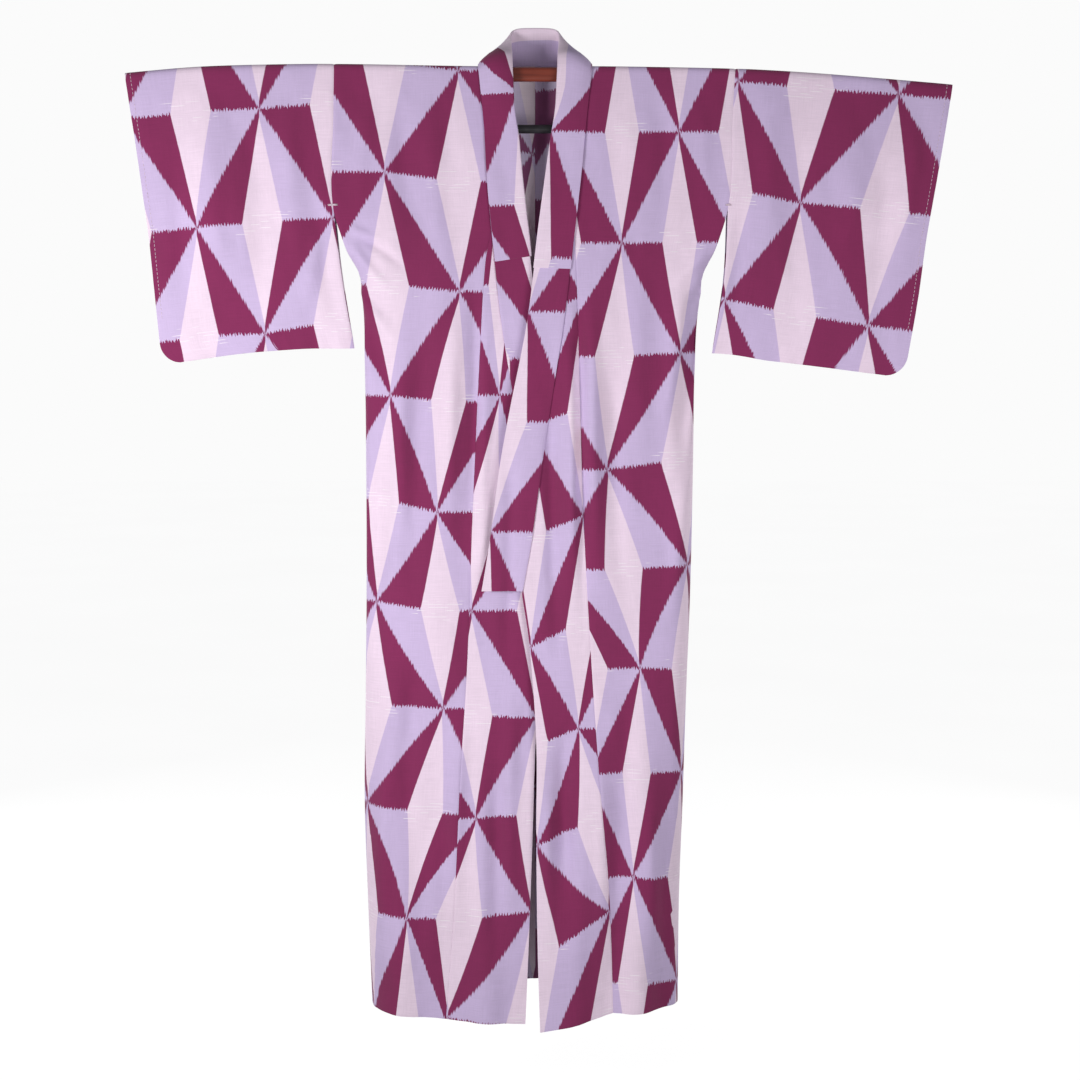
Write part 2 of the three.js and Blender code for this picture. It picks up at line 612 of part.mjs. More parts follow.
function hanger() {
  // Its section is a bar with half-round upper and lower edges.
  const radius = BAR_DEEP / 2;
  const straight = BAR_TALL / 2 - radius;
  const rounded = [180, 150, 120, 90, 60, 30, 0, 0, -30, -60, -90, -120, -150, -180].map((degrees, i) => {
    const angle = THREE.MathUtils.degToRad(degrees);
    return { y: radius * Math.cos(angle), z: radius * Math.sin(angle) + (i < 7 ? straight : -straight) };
  });
  const steps = evenly(BAR_STEPS).map((t) => lerp(BAR_ENDS.right, BAR_ENDS.left, t));
  const rings = steps.map((x) => {
    const middle = read(BAR_BOW, "x", "z", x);
    return rounded.map((c) => point(x, c.y, middle + c.z));
  });
  const bar = loft("hanger_bar", rings, COLOURS.wood);
  const obi = new THREE.Mesh(
    new THREE.CylinderGeometry(OBI_BAR.radius, OBI_BAR.radius, 2 * OBI_BAR.halfLength, OBI_BAR.sides),
    new THREE.MeshStandardMaterial(COLOURS.black),
  );
  obi.name = "obi_bar";
  obi.rotation.z = Math.PI / 2;
  obi.position.z = OBI_BAR.z;
  const links = ["right", "left"].map((side) => {
    const x = SIGN[side] * LINK.x;
    const top = read(BAR_BOW, "x", "z", x) - BAR_TALL / 2 - LINK.gap;
    const bottom = OBI_BAR.z + OBI_BAR.radius + SEAM_GAP;
    const link = new THREE.Mesh(
      new THREE.BoxGeometry(LINK.wide, LINK.deep, top - bottom),
      new THREE.MeshStandardMaterial(COLOURS.black),
    );
    link.name = "hanger_link_" + side;
    link.position.set(x, 0, (top + bottom) / 2);
    return link;
  });
  return [bar, obi, ...links];
}

function collarPieces() {
  const band = bandGrid(COLLAR_TIP);
  const covered = bandGrid(COVER_END);
  // The faces of the left half are split as the mirror of the right half's.
  const leftBand = (i) => i < (band.length - 1) / 2;
  const leftCover = (i) => i < (covered.length - 1) / 2;
  const collar = cloth("collar", band, BAND, COLOURS.collar, leftBand);
  const clear = BAND / 2 + COVER_GAP;
  // The cover goes down one face of the band, round its free edge and up the other.
  const pastEdge = (grid, by) => grid.map((row) => {
    const tip = row[row.length - 1];
    const step = tip.clone().sub(row[row.length - 2]).normalize();
    return tip.clone().addScaledVector(step, by);
  });
  const wrapped = (away, past) => {
    const front = movedOut(covered, away);
    const behind = movedOut(covered, -away);
    const [turn, turnBack] = [pastEdge(front, past), pastEdge(behind, past)];
    return front.map((row, i) => [...row, turn[i], turnBack[i], ...[...behind[i]].reverse()]);
  };
  const outer = wrapped(clear + COVER, COVER_GAP + COVER);
  const inner = wrapped(clear, COVER_GAP);
  const behindFrom = BAND_COLUMNS.length;
  const turned = (i, j) => leftCover(i) !== (j >= behindFrom);
  return [collar, wallBetween("over_collar", outer, inner, COLOURS.collar, turned)];
}

const yukata = new THREE.Group();
for (const side of ["right", "left"]) yukata.add(...bodyPieces(side), ...sleevePieces(side));
yukata.add(...collarPieces(), ...hanger());
export default yukata;
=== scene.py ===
"""A cotton yukata hanging on a kimono hanger with two bars: its cloth, pattern, creases and stitching.

The tables are in millimetres, as a maker's are, and MM turns them into Blender's metres. +Z is up, the
wearer's front faces -Y and the wearer's left is +X. The origin is the middle of the wooden bar.
"""
import math

import bpy
import numpy as np
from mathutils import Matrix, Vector


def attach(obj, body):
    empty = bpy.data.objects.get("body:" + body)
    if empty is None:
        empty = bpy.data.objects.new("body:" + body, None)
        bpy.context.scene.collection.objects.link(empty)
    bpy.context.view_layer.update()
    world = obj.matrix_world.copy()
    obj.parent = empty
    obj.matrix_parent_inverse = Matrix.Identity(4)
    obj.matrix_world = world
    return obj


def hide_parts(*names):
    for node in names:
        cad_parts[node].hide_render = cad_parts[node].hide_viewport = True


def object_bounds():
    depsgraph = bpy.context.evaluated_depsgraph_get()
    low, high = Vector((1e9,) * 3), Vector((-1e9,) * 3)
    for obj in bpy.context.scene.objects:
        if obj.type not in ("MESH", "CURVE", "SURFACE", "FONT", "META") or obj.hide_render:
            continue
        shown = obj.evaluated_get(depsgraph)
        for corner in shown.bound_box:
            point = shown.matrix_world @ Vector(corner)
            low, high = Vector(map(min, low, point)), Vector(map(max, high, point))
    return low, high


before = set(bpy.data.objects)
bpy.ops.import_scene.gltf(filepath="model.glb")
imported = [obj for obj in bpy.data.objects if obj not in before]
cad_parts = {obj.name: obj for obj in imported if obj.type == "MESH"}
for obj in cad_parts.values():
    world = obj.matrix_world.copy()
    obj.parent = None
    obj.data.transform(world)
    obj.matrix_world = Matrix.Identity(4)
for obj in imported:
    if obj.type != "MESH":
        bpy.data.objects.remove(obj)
cad_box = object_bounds()

MM = 0.001
SIDES = {"right": -1, "left": 1}

# ---------------------------------------------------------------- driving dimensions, as the frame's
SHELL = 0.9  # thickness of one layer of cloth as it is shown
BAND = 1.5  # the folded collar band
COVER = 0.9  # the second collar
COVER_GAP = 0.5  # between the band and the second collar
BAND_STAND = 1.6  # how far the collar stands off the cloth that it is sewn to
BAR_TALL = 23
BAR_DEEP = 12
BODY_LENGTH = 1536
FRONT_WIDTH = 232
SLEEVE_JOIN = 228
SIDE_OPENING_END = 362
OVERLAP_TIP = 266
COLLAR_TIP = 842
COVER_LOWEST = 316
HEM_EASE_FROM = 1230
LAP = dict(lift=5.5, clear_at=165, full_at=100, starts_below=130, full_below=280)
NECK = dict(half_width=90, back=44, rise=17, spread=0.7, settled=300, drop=0.3)
SEWN_IN = 3.2  # how far the back's neck edge reaches up into the collar band
SEWN_IN_OVER = 12  # the length of cloth over which that comes up
SLEEVE_CORNER = 30
FOLD_RADIUS = BAR_DEEP / 2 + 1.2
FOLD_TOP = BAR_TALL / 2 + 1.2
FOLD_ARC = math.pi / 2 * FOLD_RADIUS
FOLD_FULL_AT = 10 / 13
FOLD_EASE = 0.7
SQUARENESS = 3
SIDE_EASE = 5
SLEEVE_INNER = 315  # from the centre to the sleeve's seam, as the sleeve's width is counted
CELL = 5.0  # size of a cell of the cloth's mesh
SECTION_STEPS = 1400
QUARTER = SECTION_STEPS // 2 + 1  # those from centre front to the side
NOISE_CELLS = 64
STITCH = 6.4  # from one running stitch to the next
HEM = 9.0  # from the hem to its stitches
CUFF_HEM = 8.0
TACK = {"right": 8.0, "left": 4.5}  # half the length of the bar tack below each sleeve's seam
TACK_THREADS, TACK_APART = 4, 0.75
THREAD_RADIUS = 0.42
# How far the points along a stitch, and along a thread of the tack, stand off the cloth's face:
STITCH_RISE = np.array([-0.35, 0.08, 0.2, 0.08, -0.35])
TACK_RISE = np.array([-0.4, 0.45, 0.6, 0.45, -0.4])


def table(columns, *rows):
    """A table with named columns, ordered by its first column."""
    rows = sorted(rows)
    return {name: np.array([row[k] for row in rows], float) for k, name in enumerate(columns.split())}


def read(rows, by, column, at):
    """A column of a table at places between its rows, on a smooth curve through them."""
    x, y = rows[by], rows[column]
    at = np.clip(at, x[0], x[-1])
    ends = [[(y[1] - y[0]) / (x[1] - x[0])], [(y[-1] - y[-2]) / (x[-1] - x[-2])]]
    slope = np.concatenate([ends[0], (y[2:] - y[:-2]) / (x[2:] - x[:-2]), ends[1]])
    k = np.clip(np.searchsorted(x, at) - 1, 0, len(x) - 2)
    span = x[k + 1] - x[k]
    t = (at - x[k]) / span
    rise = y[k + 1] - y[k]
    s0, s1 = slope[k] * span, slope[k + 1] * span
    return y[k] + s0 * t + (3 * rise - 2 * s0 - s1) * t**2 + (s0 + s1 - 2 * rise) * t**3


BAR_BOW = table(
    "x z",
    (-660, -11), (-540, -1), (-430, 2.5), (-320, 3.5), (-90, 0), (90, 0), (320, -4), (420, -9),
    (540, -18), (670, -29),
)
BODY = table(
    "z right left front back",
    (12, 321, 320, 7.2, 7.2), (-60, 322, 316.5, 10, 9), (-212, 323.5, 309.5, 17, 13),
    (-346, 281, 268, 24, 17), (-460, 276, 259, 32, 22), (-634, 275, 257, 45, 32),
    (-826, 276, 254, 58, 44), (-1014, 279, 248, 68, 55), (-1175, 282, 244, 75, 62),
    (-1340, 278, 239, 80, 68), (-1520, 272, 238, 85, 74),
)
COLLAR_SEAM = table(
    "z right left",
    (12, 89.5, 90), (-80, 81.5, 81), (-149, 78, 75), (-208, 73.5, 68.5), (-266, 68, 61), (-394, 54, 46),
    (-548, 29, 22), (-668, 8, 5), (-746, -5, -6), (-830, -20, -21),
)
OVERLAP_SEAM = table(
    "z right left",
    (-250, 71, 63), (-300, 80, 66), (-441, 89, 70.5), (-700, 101, 78), (-940, 110, 91), (-1136, 122, 105),
    (-1319, 131, 121), (-1536, 148, 129),
)
FREE_EDGE = table(
    "z right left",
    (-830, -20, -21), (-912, -13, -9), (-1070, -1, 2), (-1223, 4, 2), (-1386, 10, 4), (-1540, 17, 9),
)
BAND_WIDTH = table(
    "z across", (12, 54), (-100, 54), (-208, 57), (-394, 59), (-541, 65), (-635, 68), (-830, 66),
)
NECK_BAND = table(
    "seam_x free_x free_y free_z roll",
    (0, 0, 43, 77, 1), (24, 22, 43, 76.5, 1.5), (41, 33, 41, 74, 3), (56, 38, 36, 68.5, 5),
    (69, 39.5, 28.5, 59, 8), (80, 39.5, 18.5, 47.5, 10), (87, 38.5, 7, 38, 11),
)
SHOULDER_BAND = table(
    "v x y rise roll",
    (0, 38, -4, 18, 10), (11, 37.5, -13, 9, 8), (30, 36.5, -17, 4, 5), (75, 34, -19, 0, 2),
    (125, 28, -18, 0, 0),
)
BAND_SETTLES = (60, 160)
HEM_DROP = {"right": dict(seam=13, free=20, back=-8), "left": dict(seam=2, free=31, back=-8)}
SLEEVE_LENGTH = {"right": (453, 465), "left": (461, 468)}  # at the seam, and at the cuff
CUFF = {
    "right": table("v x", (0, 656), (112, 640), (228, 626), (340, 616.5), (465, 606)),
    "left": table("v x", (0, 668), (112, 651), (228, 633), (340, 620), (468, 600)),
}
LOOSE_EDGE = {
    "right": table("v x", (228, 323.5), (340, 311), (465, 291)),
    "left": table("v x", (228, 309.5), (340, 305), (468, 286)),
}
SLEEVE_DEPTH = table(
    "v front back cuff",
    (0, 7.2, 7.2, 7.2), (75, 10, 9, 9.5), (180, 15, 12, 11), (228, 17, 13, 7), (270, 16.5, 12, 1.4),
    (350, 14, 10, 0.75), (425, 7, 5, 0.75), (470, 0.75, 0.75, 0.75),
)
SLEEVE_DEPTH_END = 470
SLEEVE_BELLY = 5

# Large folds, as in the frame: x is the distance towards the panel's own side.
FRONT_FOLDS = [
    ("left", 178, -760, 168, -1560, 30, 11), ("left", 128, -900, 126, -1560, 26, -10),
    ("left", 70, -980, 66, -1560, 28, 8), ("left", 214, -980, 208, -1560, 20, -8),
    ("right", 84, -860, 82, -1560, 28, 10), ("right", 150, -800, 166, -1560, 32, -9),
    ("right", 212, -900, 226, -1560, 26, 9),
]
BACK_FOLDS = [
    ("left", 62, -620, 74, -1560, 34, 11), ("left", 140, -760, 150, -1560, 32, -12),
    ("left", 200, -900, 206, -1560, 24, 8), ("right", 54, -700, 60, -1560, 32, -9),
    ("right", 126, -560, 142, -1560, 36, 13), ("right", 206, -860, 214, -1560, 26, -9),
]

# Creases in the cloth: a ridge where height is above nought and a trough where it is below, on a line from
# x, z to x_end, z_end that bends sideways by bend at its middle. They come up over the first part of their
# length and die away over the last.
CREASE_DEPTH = 2.5
CREASE_RISE, CREASE_FADE = 0.3, 0.45
FRONT_CREASES = [
    # below the wearer's right armpit
    (-300, -262, -226, -352, 4, 8, 2.4), (-306, -286, -238, -392, 6, 9, -2.6),
    (-292, -250, -196, -318, -4, 7, -2.0), (-284, -318, -222, -436, 8, 13, 3.2),
    (-262, -380, -232, -520, 6, 16, -3.0), (-300, -240, -252, -262, 2, 6, 1.8),
    # below the wearer's left armpit
    (286, -262, 214, -340, -4, 9, 2.4), (290, -292, 228, -396, -6, 10, -2.4),
    (262, -352, 236, -640, 4, 15, -5.0), (236, -330, 206, -560, -6, 14, 3.4),
    (250, -620, 226, -900, 4, 16, 3.0),
    # beside and below the wearer's left overlap seam
    (72, -300, 82, -930, 4, 9, -3.6), (92, -310, 104, -860, 5, 12, 3.6),
    (52, -400, 58, -900, -6, 13, 3.0), (26, -470, 40, -980, 5, 12, -3.2),
    (128, -420, 146, -880, 8, 18, -3.0), (166, -240, 182, -700, 6, 20, 2.6),
    # down the wearer's right front
    (-96, -300, -106, -760, -4, 10, -2.6), (-124, -330, -136, -820, 6, 14, 3.0),
    (-172, -380, -188, -760, 8, 20, -3.0), (-218, -430, -226, -860, -6, 16, 3.2),
    (-76, -440, -84, -900, 5, 12, 2.4), (-248, -560, -256, -980, 4, 14, -3.4),
    (-40, -560, -52, -1000, -5, 12, -2.2),
    # the skirt
    (50, -1020, 62, -1420, 8, 16, -4.2), (22, -1120, 26, -1500, 4, 12, 2.6),
    (102, -1080, 112, -1520, -6, 16, 3.0), (150, -980, 160, -1360, 6, 18, -3.2),
    (196, -1100, 204, -1540, 5, 16, 3.4), (-34, -960, -40, -1380, 6, 14, 2.6),
    (-64, -1060, -72, -1500, -5, 16, -3.0), (-118, -1000, -128, -1420, 6, 16, 3.4),
    (-192, -900, -208, -1360, 8, 18, -3.4), (-244, -1060, -250, -1500, 4, 14, 3.0),
    (-160, -1180, -168, -1540, 4, 16, 2.4),
    # shoulders and sleeves
    (-214, -18, -198, -250, 6, 16, -1.8), (-168, -30, -150, -300, 4, 18, 2.0),
    (-268, -30, -276, -214, 3, 14, 1.6), (206, -24, 196, -280, -6, 16, -1.8),
    (262, -28, 272, -216, -3, 14, 1.6), (152, -36, 140, -300, -4, 16, 1.6),
    (-392, -24, -374, -330, 6, 20, 2.2), (-452, -60, -446, -420, -8, 24, -2.4),
    (-520, -28, -506, -360, 6, 22, 2.2), (-582, -90, -566, -440, -5, 18, -2.0),
    (-352, -190, -318, -400, 4, 14, -2.4), (-334, -232, -372, -380, 4, 12, 2.2),
    (372, -28, 360, -330, -6, 20, 2.2), (432, -70, 424, -430, 8, 24, -2.6),
    (508, -36, 492, -380, -6, 22, 2.4), (572, -90, 554, -440, 5, 18, -2.0),
    (334, -190, 312, -420, -4, 14, -2.2), (614, -40, 596, -300, 4, 14, 1.8),
]
BACK_CREASES = [
    (296, -258, 220, -350, -4, 9, 2.6), (-304, -262, -226, -356, 4, 9, 2.6),
    (286, -300, 234, -430, -6, 12, -3.0), (-288, -296, -240, -420, 6, 12, -3.0),
    (30, -120, 40, -620, 6, 18, 2.8), (-34, -150, -30, -560, -5, 18, -2.4),
    (96, -90, 110, -680, 8, 20, -3.2), (-106, -110, -92, -700, -8, 22, 3.0),
    (176, -60, 168, -560, -6, 20, 2.8), (-184, -80, -172, -620, 6, 22, -3.0),
    (236, -380, 230, -900, 5, 18, -3.6), (-246, -420, -240, -980, -5, 18, 3.4),
    (66, -700, 70, -1380, 6, 18, -3.0), (-60, -820, -66, -1480, -6, 18, 3.2),
    (118, -860, 124, -1500, 5, 18, 3.0), (-124, -900, -136, -1520, 6, 20, -3.4),
    (186, -1000, 190, -1520, -5, 18, -3.0), (-196, -980, -204, -1500, 5, 18, 3.2),
    (6, -900, 2, -1420, 4, 14, 2.2), (-420, -30, -408, -400, 6, 24, 2.4),
    (-520, -40, -508, -420, -6, 22, -2.4), (-350, -60, -340, -380, 4, 18, 2.0),
    (420, -40, 410, -420, -6, 24, 2.4), (520, -40, 506, -420, 6, 22, -2.4),
    (352, -60, 340, -380, -4, 18, 2.0),
]
# The cloth's small unevenness, longer down the cloth than across: height, cell across, cell down, slant.
UNEVENNESS = [(2.3, 46, 170, 0.0), (0.95, 20, 62, 0.2), (0.36, 10, 24, -0.3)]
RELIEF_FROM, RELIEF_OVER = 4, 46
FACING = 0.7  # creases fade where the cloth faces less far forwards or backwards than this

# The dyed pattern's stars on each panel, in columns from the wearer's right to left: the column's number,
# the row of its highest star, and the stars' x, z. A column's stars are two rows apart.
STARS = {
    "front_right": [
        (0, 0, [(-241, -155), (-233, -512), (-258, -846), (-278, -1179)]),
        (1, -1, [(-123, 5), (-121, -345), (-158, -699), (-149, -1017), (-210, -1360)]),
    ],
    "front_left": [
        (1, 1, [(139, -268), (116, -630), (170, -951), (160, -1293)]),
        (2, 0, [(230, -90), (234, -443), (247, -787), (242, -1127)]),
    ],
    "overlap_right": [
        (1, 3, [(-57, -511), (-103, -859), (-96, -1196), (-144, -1517)]),
        (2, 6, [(2, -1032), (-7, -1346)]),
    ],
    "overlap_left": [
        (0, 6, [(-7, -915), (4, -1237)]),
        (1, 5, [(77, -704), (70, -1048), (121, -1349)]),
    ],
    "sleeve_right": [
        (0, -2, [(-556, 122), (-544, -240)]),
        (1, -1, [(-441, -57), (-437, -420)]),
        (2, -2, [(-326, 130), (-325, -228)]),
    ],
    # The cloth comes over the shoulder in one length: here z goes on upwards past the shoulder fold, as the
    # cloth goes down the back.
    "back_right": [
        (0, -2, [(-236, 161), (-241, -191)]),
        (1, -3, [(-118, 321), (-123, -31)]),
        (2, -4, [(-4, 508), (-5, 156)]),
    ],
    "back_left": [
        (0, -4, [(-33, 584), (-33, 232)]),
        (1, -3, [(75, 404), (75, 52)]),
        (2, -2, [(187, 232), (190, -122)]),
    ],
    "sleeve_left": [
        (0, 0, [(325, -8), (306, -363)]),
        (1, -1, [(444, 168), (426, -193), (410, -552)]),
        (2, 0, [(581, -11), (539, -379)]),
    ],
}
ROW = 176  # from one row of the pattern to the next
# Along the collars the pattern is told by how far down the cloth its rows stand, from the left front round
# the neck to the right front (below nought), and by how far inside the free edge the first column stands.
BAND_PATTERN = dict(rows=[(-463, -4), (388, 2), (745, 4)], inset=[(-463, -17), (388, 0)], column=105)
COVER_PATTERN = dict(
    rows=[(-225, -3), (-48, -2), (36, -0.62), (105, 0), (300, 1)], neck=(24, -1),
    inset=[(-225, -8), (105, 0)], column=92,
)
# How much further down the second collar's ends hang than in the frame, at its sewn and at its free edge.
COVER_ENDS = {"right": (-2, -11), "left": (10, 8)}
COVER_ENDS_FROM = 200


# ---------------------------------------------------------------- numbers
def smooth(t):
    t = np.clip(t, 0, 1)
    return t * t * (3 - 2 * t)


def lerp(a, b, t):
    return a + (b - a) * t


def height_at(v):
    """The height of a place that hangs v below the shoulder fold."""
    return FOLD_TOP - FOLD_RADIUS + FOLD_ARC - v


def soft_noise(x, y, cell_x, cell_y, seed):
    """Smooth uneven numbers from -1 to 1 over a plane, one new number for each cell."""
    lattice = np.random.default_rng(seed).uniform(-1, 1, (NOISE_CELLS, NOISE_CELLS))
    far = 1000  # keeps the places in the lattice above nought
    gx, gy = x / cell_x + far, y / cell_y + far
    ix, iy = np.floor(gx).astype(int), np.floor(gy).astype(int)
    tx, ty = smooth(gx - ix), smooth(gy - iy)

    def corner(dx, dy):
        return lattice[(ix + dx) % NOISE_CELLS, (iy + dy) % NOISE_CELLS]

    return lerp(lerp(corner(0, 0), corner(1, 0), tx), lerp(corner(0, 1), corner(1, 1), tx), ty)


def spaced(start, end, cell=CELL, fine=(0.9, 2.2)):
    """Places from start to end, a cell apart, with closer ones beside both ends."""
    inner = np.linspace(start, end, max(3, int(round((end - start) / cell)) + 1))
    near = [start + d for d in fine] + [end - d for d in fine]
    return np.unique(np.concatenate([inner, near]))


def running(steps):
    """Running totals along the last axis, from nought."""
    return np.concatenate([np.zeros(steps.shape[:-1] + (1,)), np.cumsum(steps, -1)], -1)


def points_at(side, x, y, z):
    """Points at distances x towards a side, at depths y and heights z."""
    return np.stack([SIDES[side] * x, y, np.full_like(x, z)], -1)


# ---------------------------------------------------------------- the hanging body
def section(side, z):
    """Half of the body's level section, from centre front round the side to centre back."""
    half_width, front, back = (float(read(BODY, "z", c, z)) for c in (side, "front", "back"))
    angle = np.linspace(0, np.pi, SECTION_STEPS + 1)
    across = half_width * np.sin(angle) ** (2 / SQUARENESS)
    deep = np.abs(np.cos(angle)) ** (2 / SQUARENESS)
    y = np.where(angle < np.pi / 2, -front * deep, back * deep)
    length = running(np.hypot(np.diff(across), np.diff(y)))
    return across, y, length


def fold_height(folds, side, x, z):
    """How far a table's large folds push the cloth outwards at x, z."""
    height = np.zeros_like(x)
    for own, x0, z0, x1, z1, wide, tall in folds:
        if own != side or z > z0:
            continue
        along = (z0 - z) / (z0 - z1)
        height += tall * smooth(along / FOLD_FULL_AT) * np.exp(-(((x - lerp(x0, x1, along)) / wide) ** 2))
    return height


def roundness(v):
    return float(np.clip((v - SLEEVE_JOIN) / (SIDE_OPENING_END - SLEEVE_JOIN), 0, 1) ** 2)


def inner_edge(side, v):
    return float(read(COLLAR_SEAM if v <= OVERLAP_TIP else OVERLAP_SEAM, "z", side, height_at(v)))


def lap_lift(side, x, v):
    across = smooth((LAP["clear_at"] - x) / (LAP["clear_at"] - LAP["full_at"]))
    down = smooth((v - LAP["starts_below"]) / (LAP["full_below"] - LAP["starts_below"]))
    return SIDES[side] * LAP["lift"] * across * down


def on_front(side, x, v):
    """Points of a front at distances x from the centre towards its own side."""
    z = height_at(v)
    other = "left" if side == "right" else "right"
    half_width = np.where(x < 0, read(BODY, "z", other, z), read(BODY, "z", side, z))
    front = read(BODY, "z", "front", z)
    rounding = (1 - (np.abs(x) / half_width) ** SQUARENESS).clip(0) ** (1 / SQUARENESS)
    depth = front * lerp(1, rounding, roundness(v)) + fold_height(FRONT_FOLDS, side, x, z)
    return points_at(side, x, -depth - lap_lift(side, x, v), z)


def over_bar(points, v, towards):
    """Takes the first rows round the bar, and gives the cloth below it the bar's bow."""
    points = points.copy()
    bow = read(BAR_BOW, "x", "z", points[..., 0]) * (1 - smooth(v / SLEEVE_JOIN))
    if v >= FOLD_ARC:
        points[..., 2] = height_at(v) + bow
        return points
    turn = v / FOLD_RADIUS
    points[..., 1] = towards * FOLD_RADIUS * math.sin(turn)
    points[..., 2] = FOLD_TOP - FOLD_RADIUS + FOLD_RADIUS * math.cos(turn) + bow
    return points


def hem_drop(v, drop):
    return drop * float(np.clip((v - HEM_EASE_FROM) / (BODY_LENGTH - HEM_EASE_FROM), 0, 1)) ** 1.5


def front_row(side, part, v):
    """A row of a front, from its inner edge (part 0) to the sleeve and side seam (part 1)."""
    z = height_at(v)
    inner = inner_edge(side, v)
    flat_x = lerp(inner, float(read(BODY, "z", side, z)), part)
    if v <= SLEEVE_JOIN:
        return over_bar(on_front(side, flat_x, v), v, -1)
    across, y, length = section(side, z)
    start = np.interp(inner, across[:QUARTER], length[:QUARTER])
    at = start + part * FRONT_WIDTH
    x, deep = np.interp(at, length, across), np.interp(at, length, y)
    front = float(read(BODY, "z", "front", z))
    fold = fold_height(FRONT_FOLDS, side, x, z) * smooth(-deep / front / FOLD_EASE)
    tube = points_at(side, x, deep - fold - lap_lift(side, x, v), z)
    flat = points_at(side, flat_x, -front - lap_lift(side, flat_x, v), z)
    row = lerp(flat, tube, roundness(v))
    row[..., 2] = z - hem_drop(v, lerp(HEM_DROP[side]["seam"], 0, part))
    return row


def overlap_row(side, part, v):
    """A row of an overlap piece, from its collar or free edge (part 0) to the front's seam (part 1)."""
    z = height_at(v)
    outer = inner_edge(side, v)
    inner = float(read(COLLAR_SEAM if v <= COLLAR_TIP else FREE_EDGE, "z", side, z))
    row = on_front(side, lerp(min(inner, outer - 2), outer, part), v)
    row[..., 2] -= hem_drop(v, lerp(HEM_DROP[side]["free"], HEM_DROP[side]["seam"], part))
    return row


def neck_bulge(x, v):
    reach = NECK["half_width"] + NECK["spread"] * v
    return NECK["back"] * (1 - (x / reach) ** 2).clip(0) ** 0.5 * (1 - smooth(v / NECK["settled"]))


def back_row(side, part, v):
    """A row of a back half, from centre back (part 0) to the sleeve and side seam (part 1)."""
    z = height_at(v)
    flat_x = float(read(BODY, "z", side, z)) * part
    in_neck = smooth((NECK["half_width"] - flat_x) / NECK["half_width"])
    back = float(read(BODY, "z", "back", z))
    bulge = neck_bulge(flat_x, v)
    behind = np.hypot(back, bulge * in_neck ** NECK["drop"])
    flat = points_at(side, flat_x, behind, z)
    if v <= SLEEVE_JOIN:
        over = over_bar(flat, v, 1)
        if v < FOLD_ARC:
            # The cloth's edge is sewn in a little way under the collar band.
            sewn_in = SEWN_IN * smooth((NECK["half_width"] - flat_x) / SEWN_IN_OVER) * (1 - v / FOLD_ARC)
            raised = lerp(FOLD_TOP, NECK["rise"], in_neck) - v + sewn_in
            neck = points_at(side, flat_x, neck_bulge(flat_x, 0), raised)
            over = np.where((flat_x < NECK["half_width"] - 0.5)[:, None], neck, over)
        return over
    across, y, length = section(side, z)
    whole = length[-1]
    seam = np.interp(inner_edge(side, v), across[:QUARTER], length[:QUARTER]) + FRONT_WIDTH
    at = whole - part * (whole - seam)
    x, deep = np.interp(at, length, across), np.interp(at, length, y)
    eased = smooth(deep / back / FOLD_EASE) * smooth((1 - part) * SIDE_EASE)
    fold = fold_height(BACK_FOLDS, side, x, z) * eased
    tube = points_at(side, x, deep + fold, z)
    row = lerp(flat, tube, roundness(v))
    row[..., 2] = z - hem_drop(v, lerp(HEM_DROP[side]["back"], 0, part))
    return row


def sleeve_row(side, towards, part, down):
    """A row of a sleeve's front (towards -1) or back (towards 1), from seam (part 0) to cuff (part 1)."""
    at_seam, at_cuff = SLEEVE_LENGTH[side]
    length = lerp(at_seam, at_cuff, part)
    below = max(0.0, down - SLEEVE_JOIN) / (at_cuff - SLEEVE_JOIN)
    v = min(down, SLEEVE_JOIN) + below * (length - SLEEVE_JOIN)

    def seam_at(at):
        sewn = read(BODY, "z", side, height_at(at))
        return np.where(at <= SLEEVE_JOIN, sewn, read(LOOSE_EDGE[side], "v", "x", at))

    corner = (SLEEVE_CORNER - (length - v)).clip(0)
    cuff = read(CUFF[side], "v", "x", v) - SLEEVE_CORNER + np.sqrt(SLEEVE_CORNER**2 - corner**2)
    x = lerp(seam_at(v), cuff, part)
    fold_x = lerp(float(seam_at(np.float64(0))), float(read(CUFF[side], "v", "x", 0)), part)
    bow = read(BAR_BOW, "x", "z", SIDES[side] * fold_x)
    fade = 1 - smooth(down / SLEEVE_JOIN)
    hang = lerp(bow * fade, bow, smooth(part * 3))
    if down < FOLD_ARC:
        turn = down / FOLD_RADIUS
        y = np.full_like(x, towards * FOLD_RADIUS * math.sin(turn))
        z = FOLD_TOP - FOLD_RADIUS + FOLD_RADIUS * math.cos(turn) + hang
        return points_at(side, x, y, z)
    scaled = np.where(v < SLEEVE_JOIN, v, v / length * SLEEVE_DEPTH_END)
    at_seam_deep = read(SLEEVE_DEPTH, "v", "front" if towards < 0 else "back", scaled)
    deep = lerp(at_seam_deep, read(SLEEVE_DEPTH, "v", "cuff", scaled), part)
    lengthwise = np.sin(np.pi * np.minimum(1, v / length))
    deep = deep + SLEEVE_BELLY * np.sin(np.pi * part) * lengthwise
    return points_at(side, x, towards * deep, height_at(v) + hang)


# ---------------------------------------------------------------- grids of cloth
def normals(grid):
    """The direction out of each point of a grid whose rows run down and whose columns run across."""
    down, over = np.gradient(grid, axis=0), np.gradient(grid, axis=1)
    out = np.cross(down, over)
    return out / np.linalg.norm(out, axis=-1, keepdims=True).clip(1e-9)


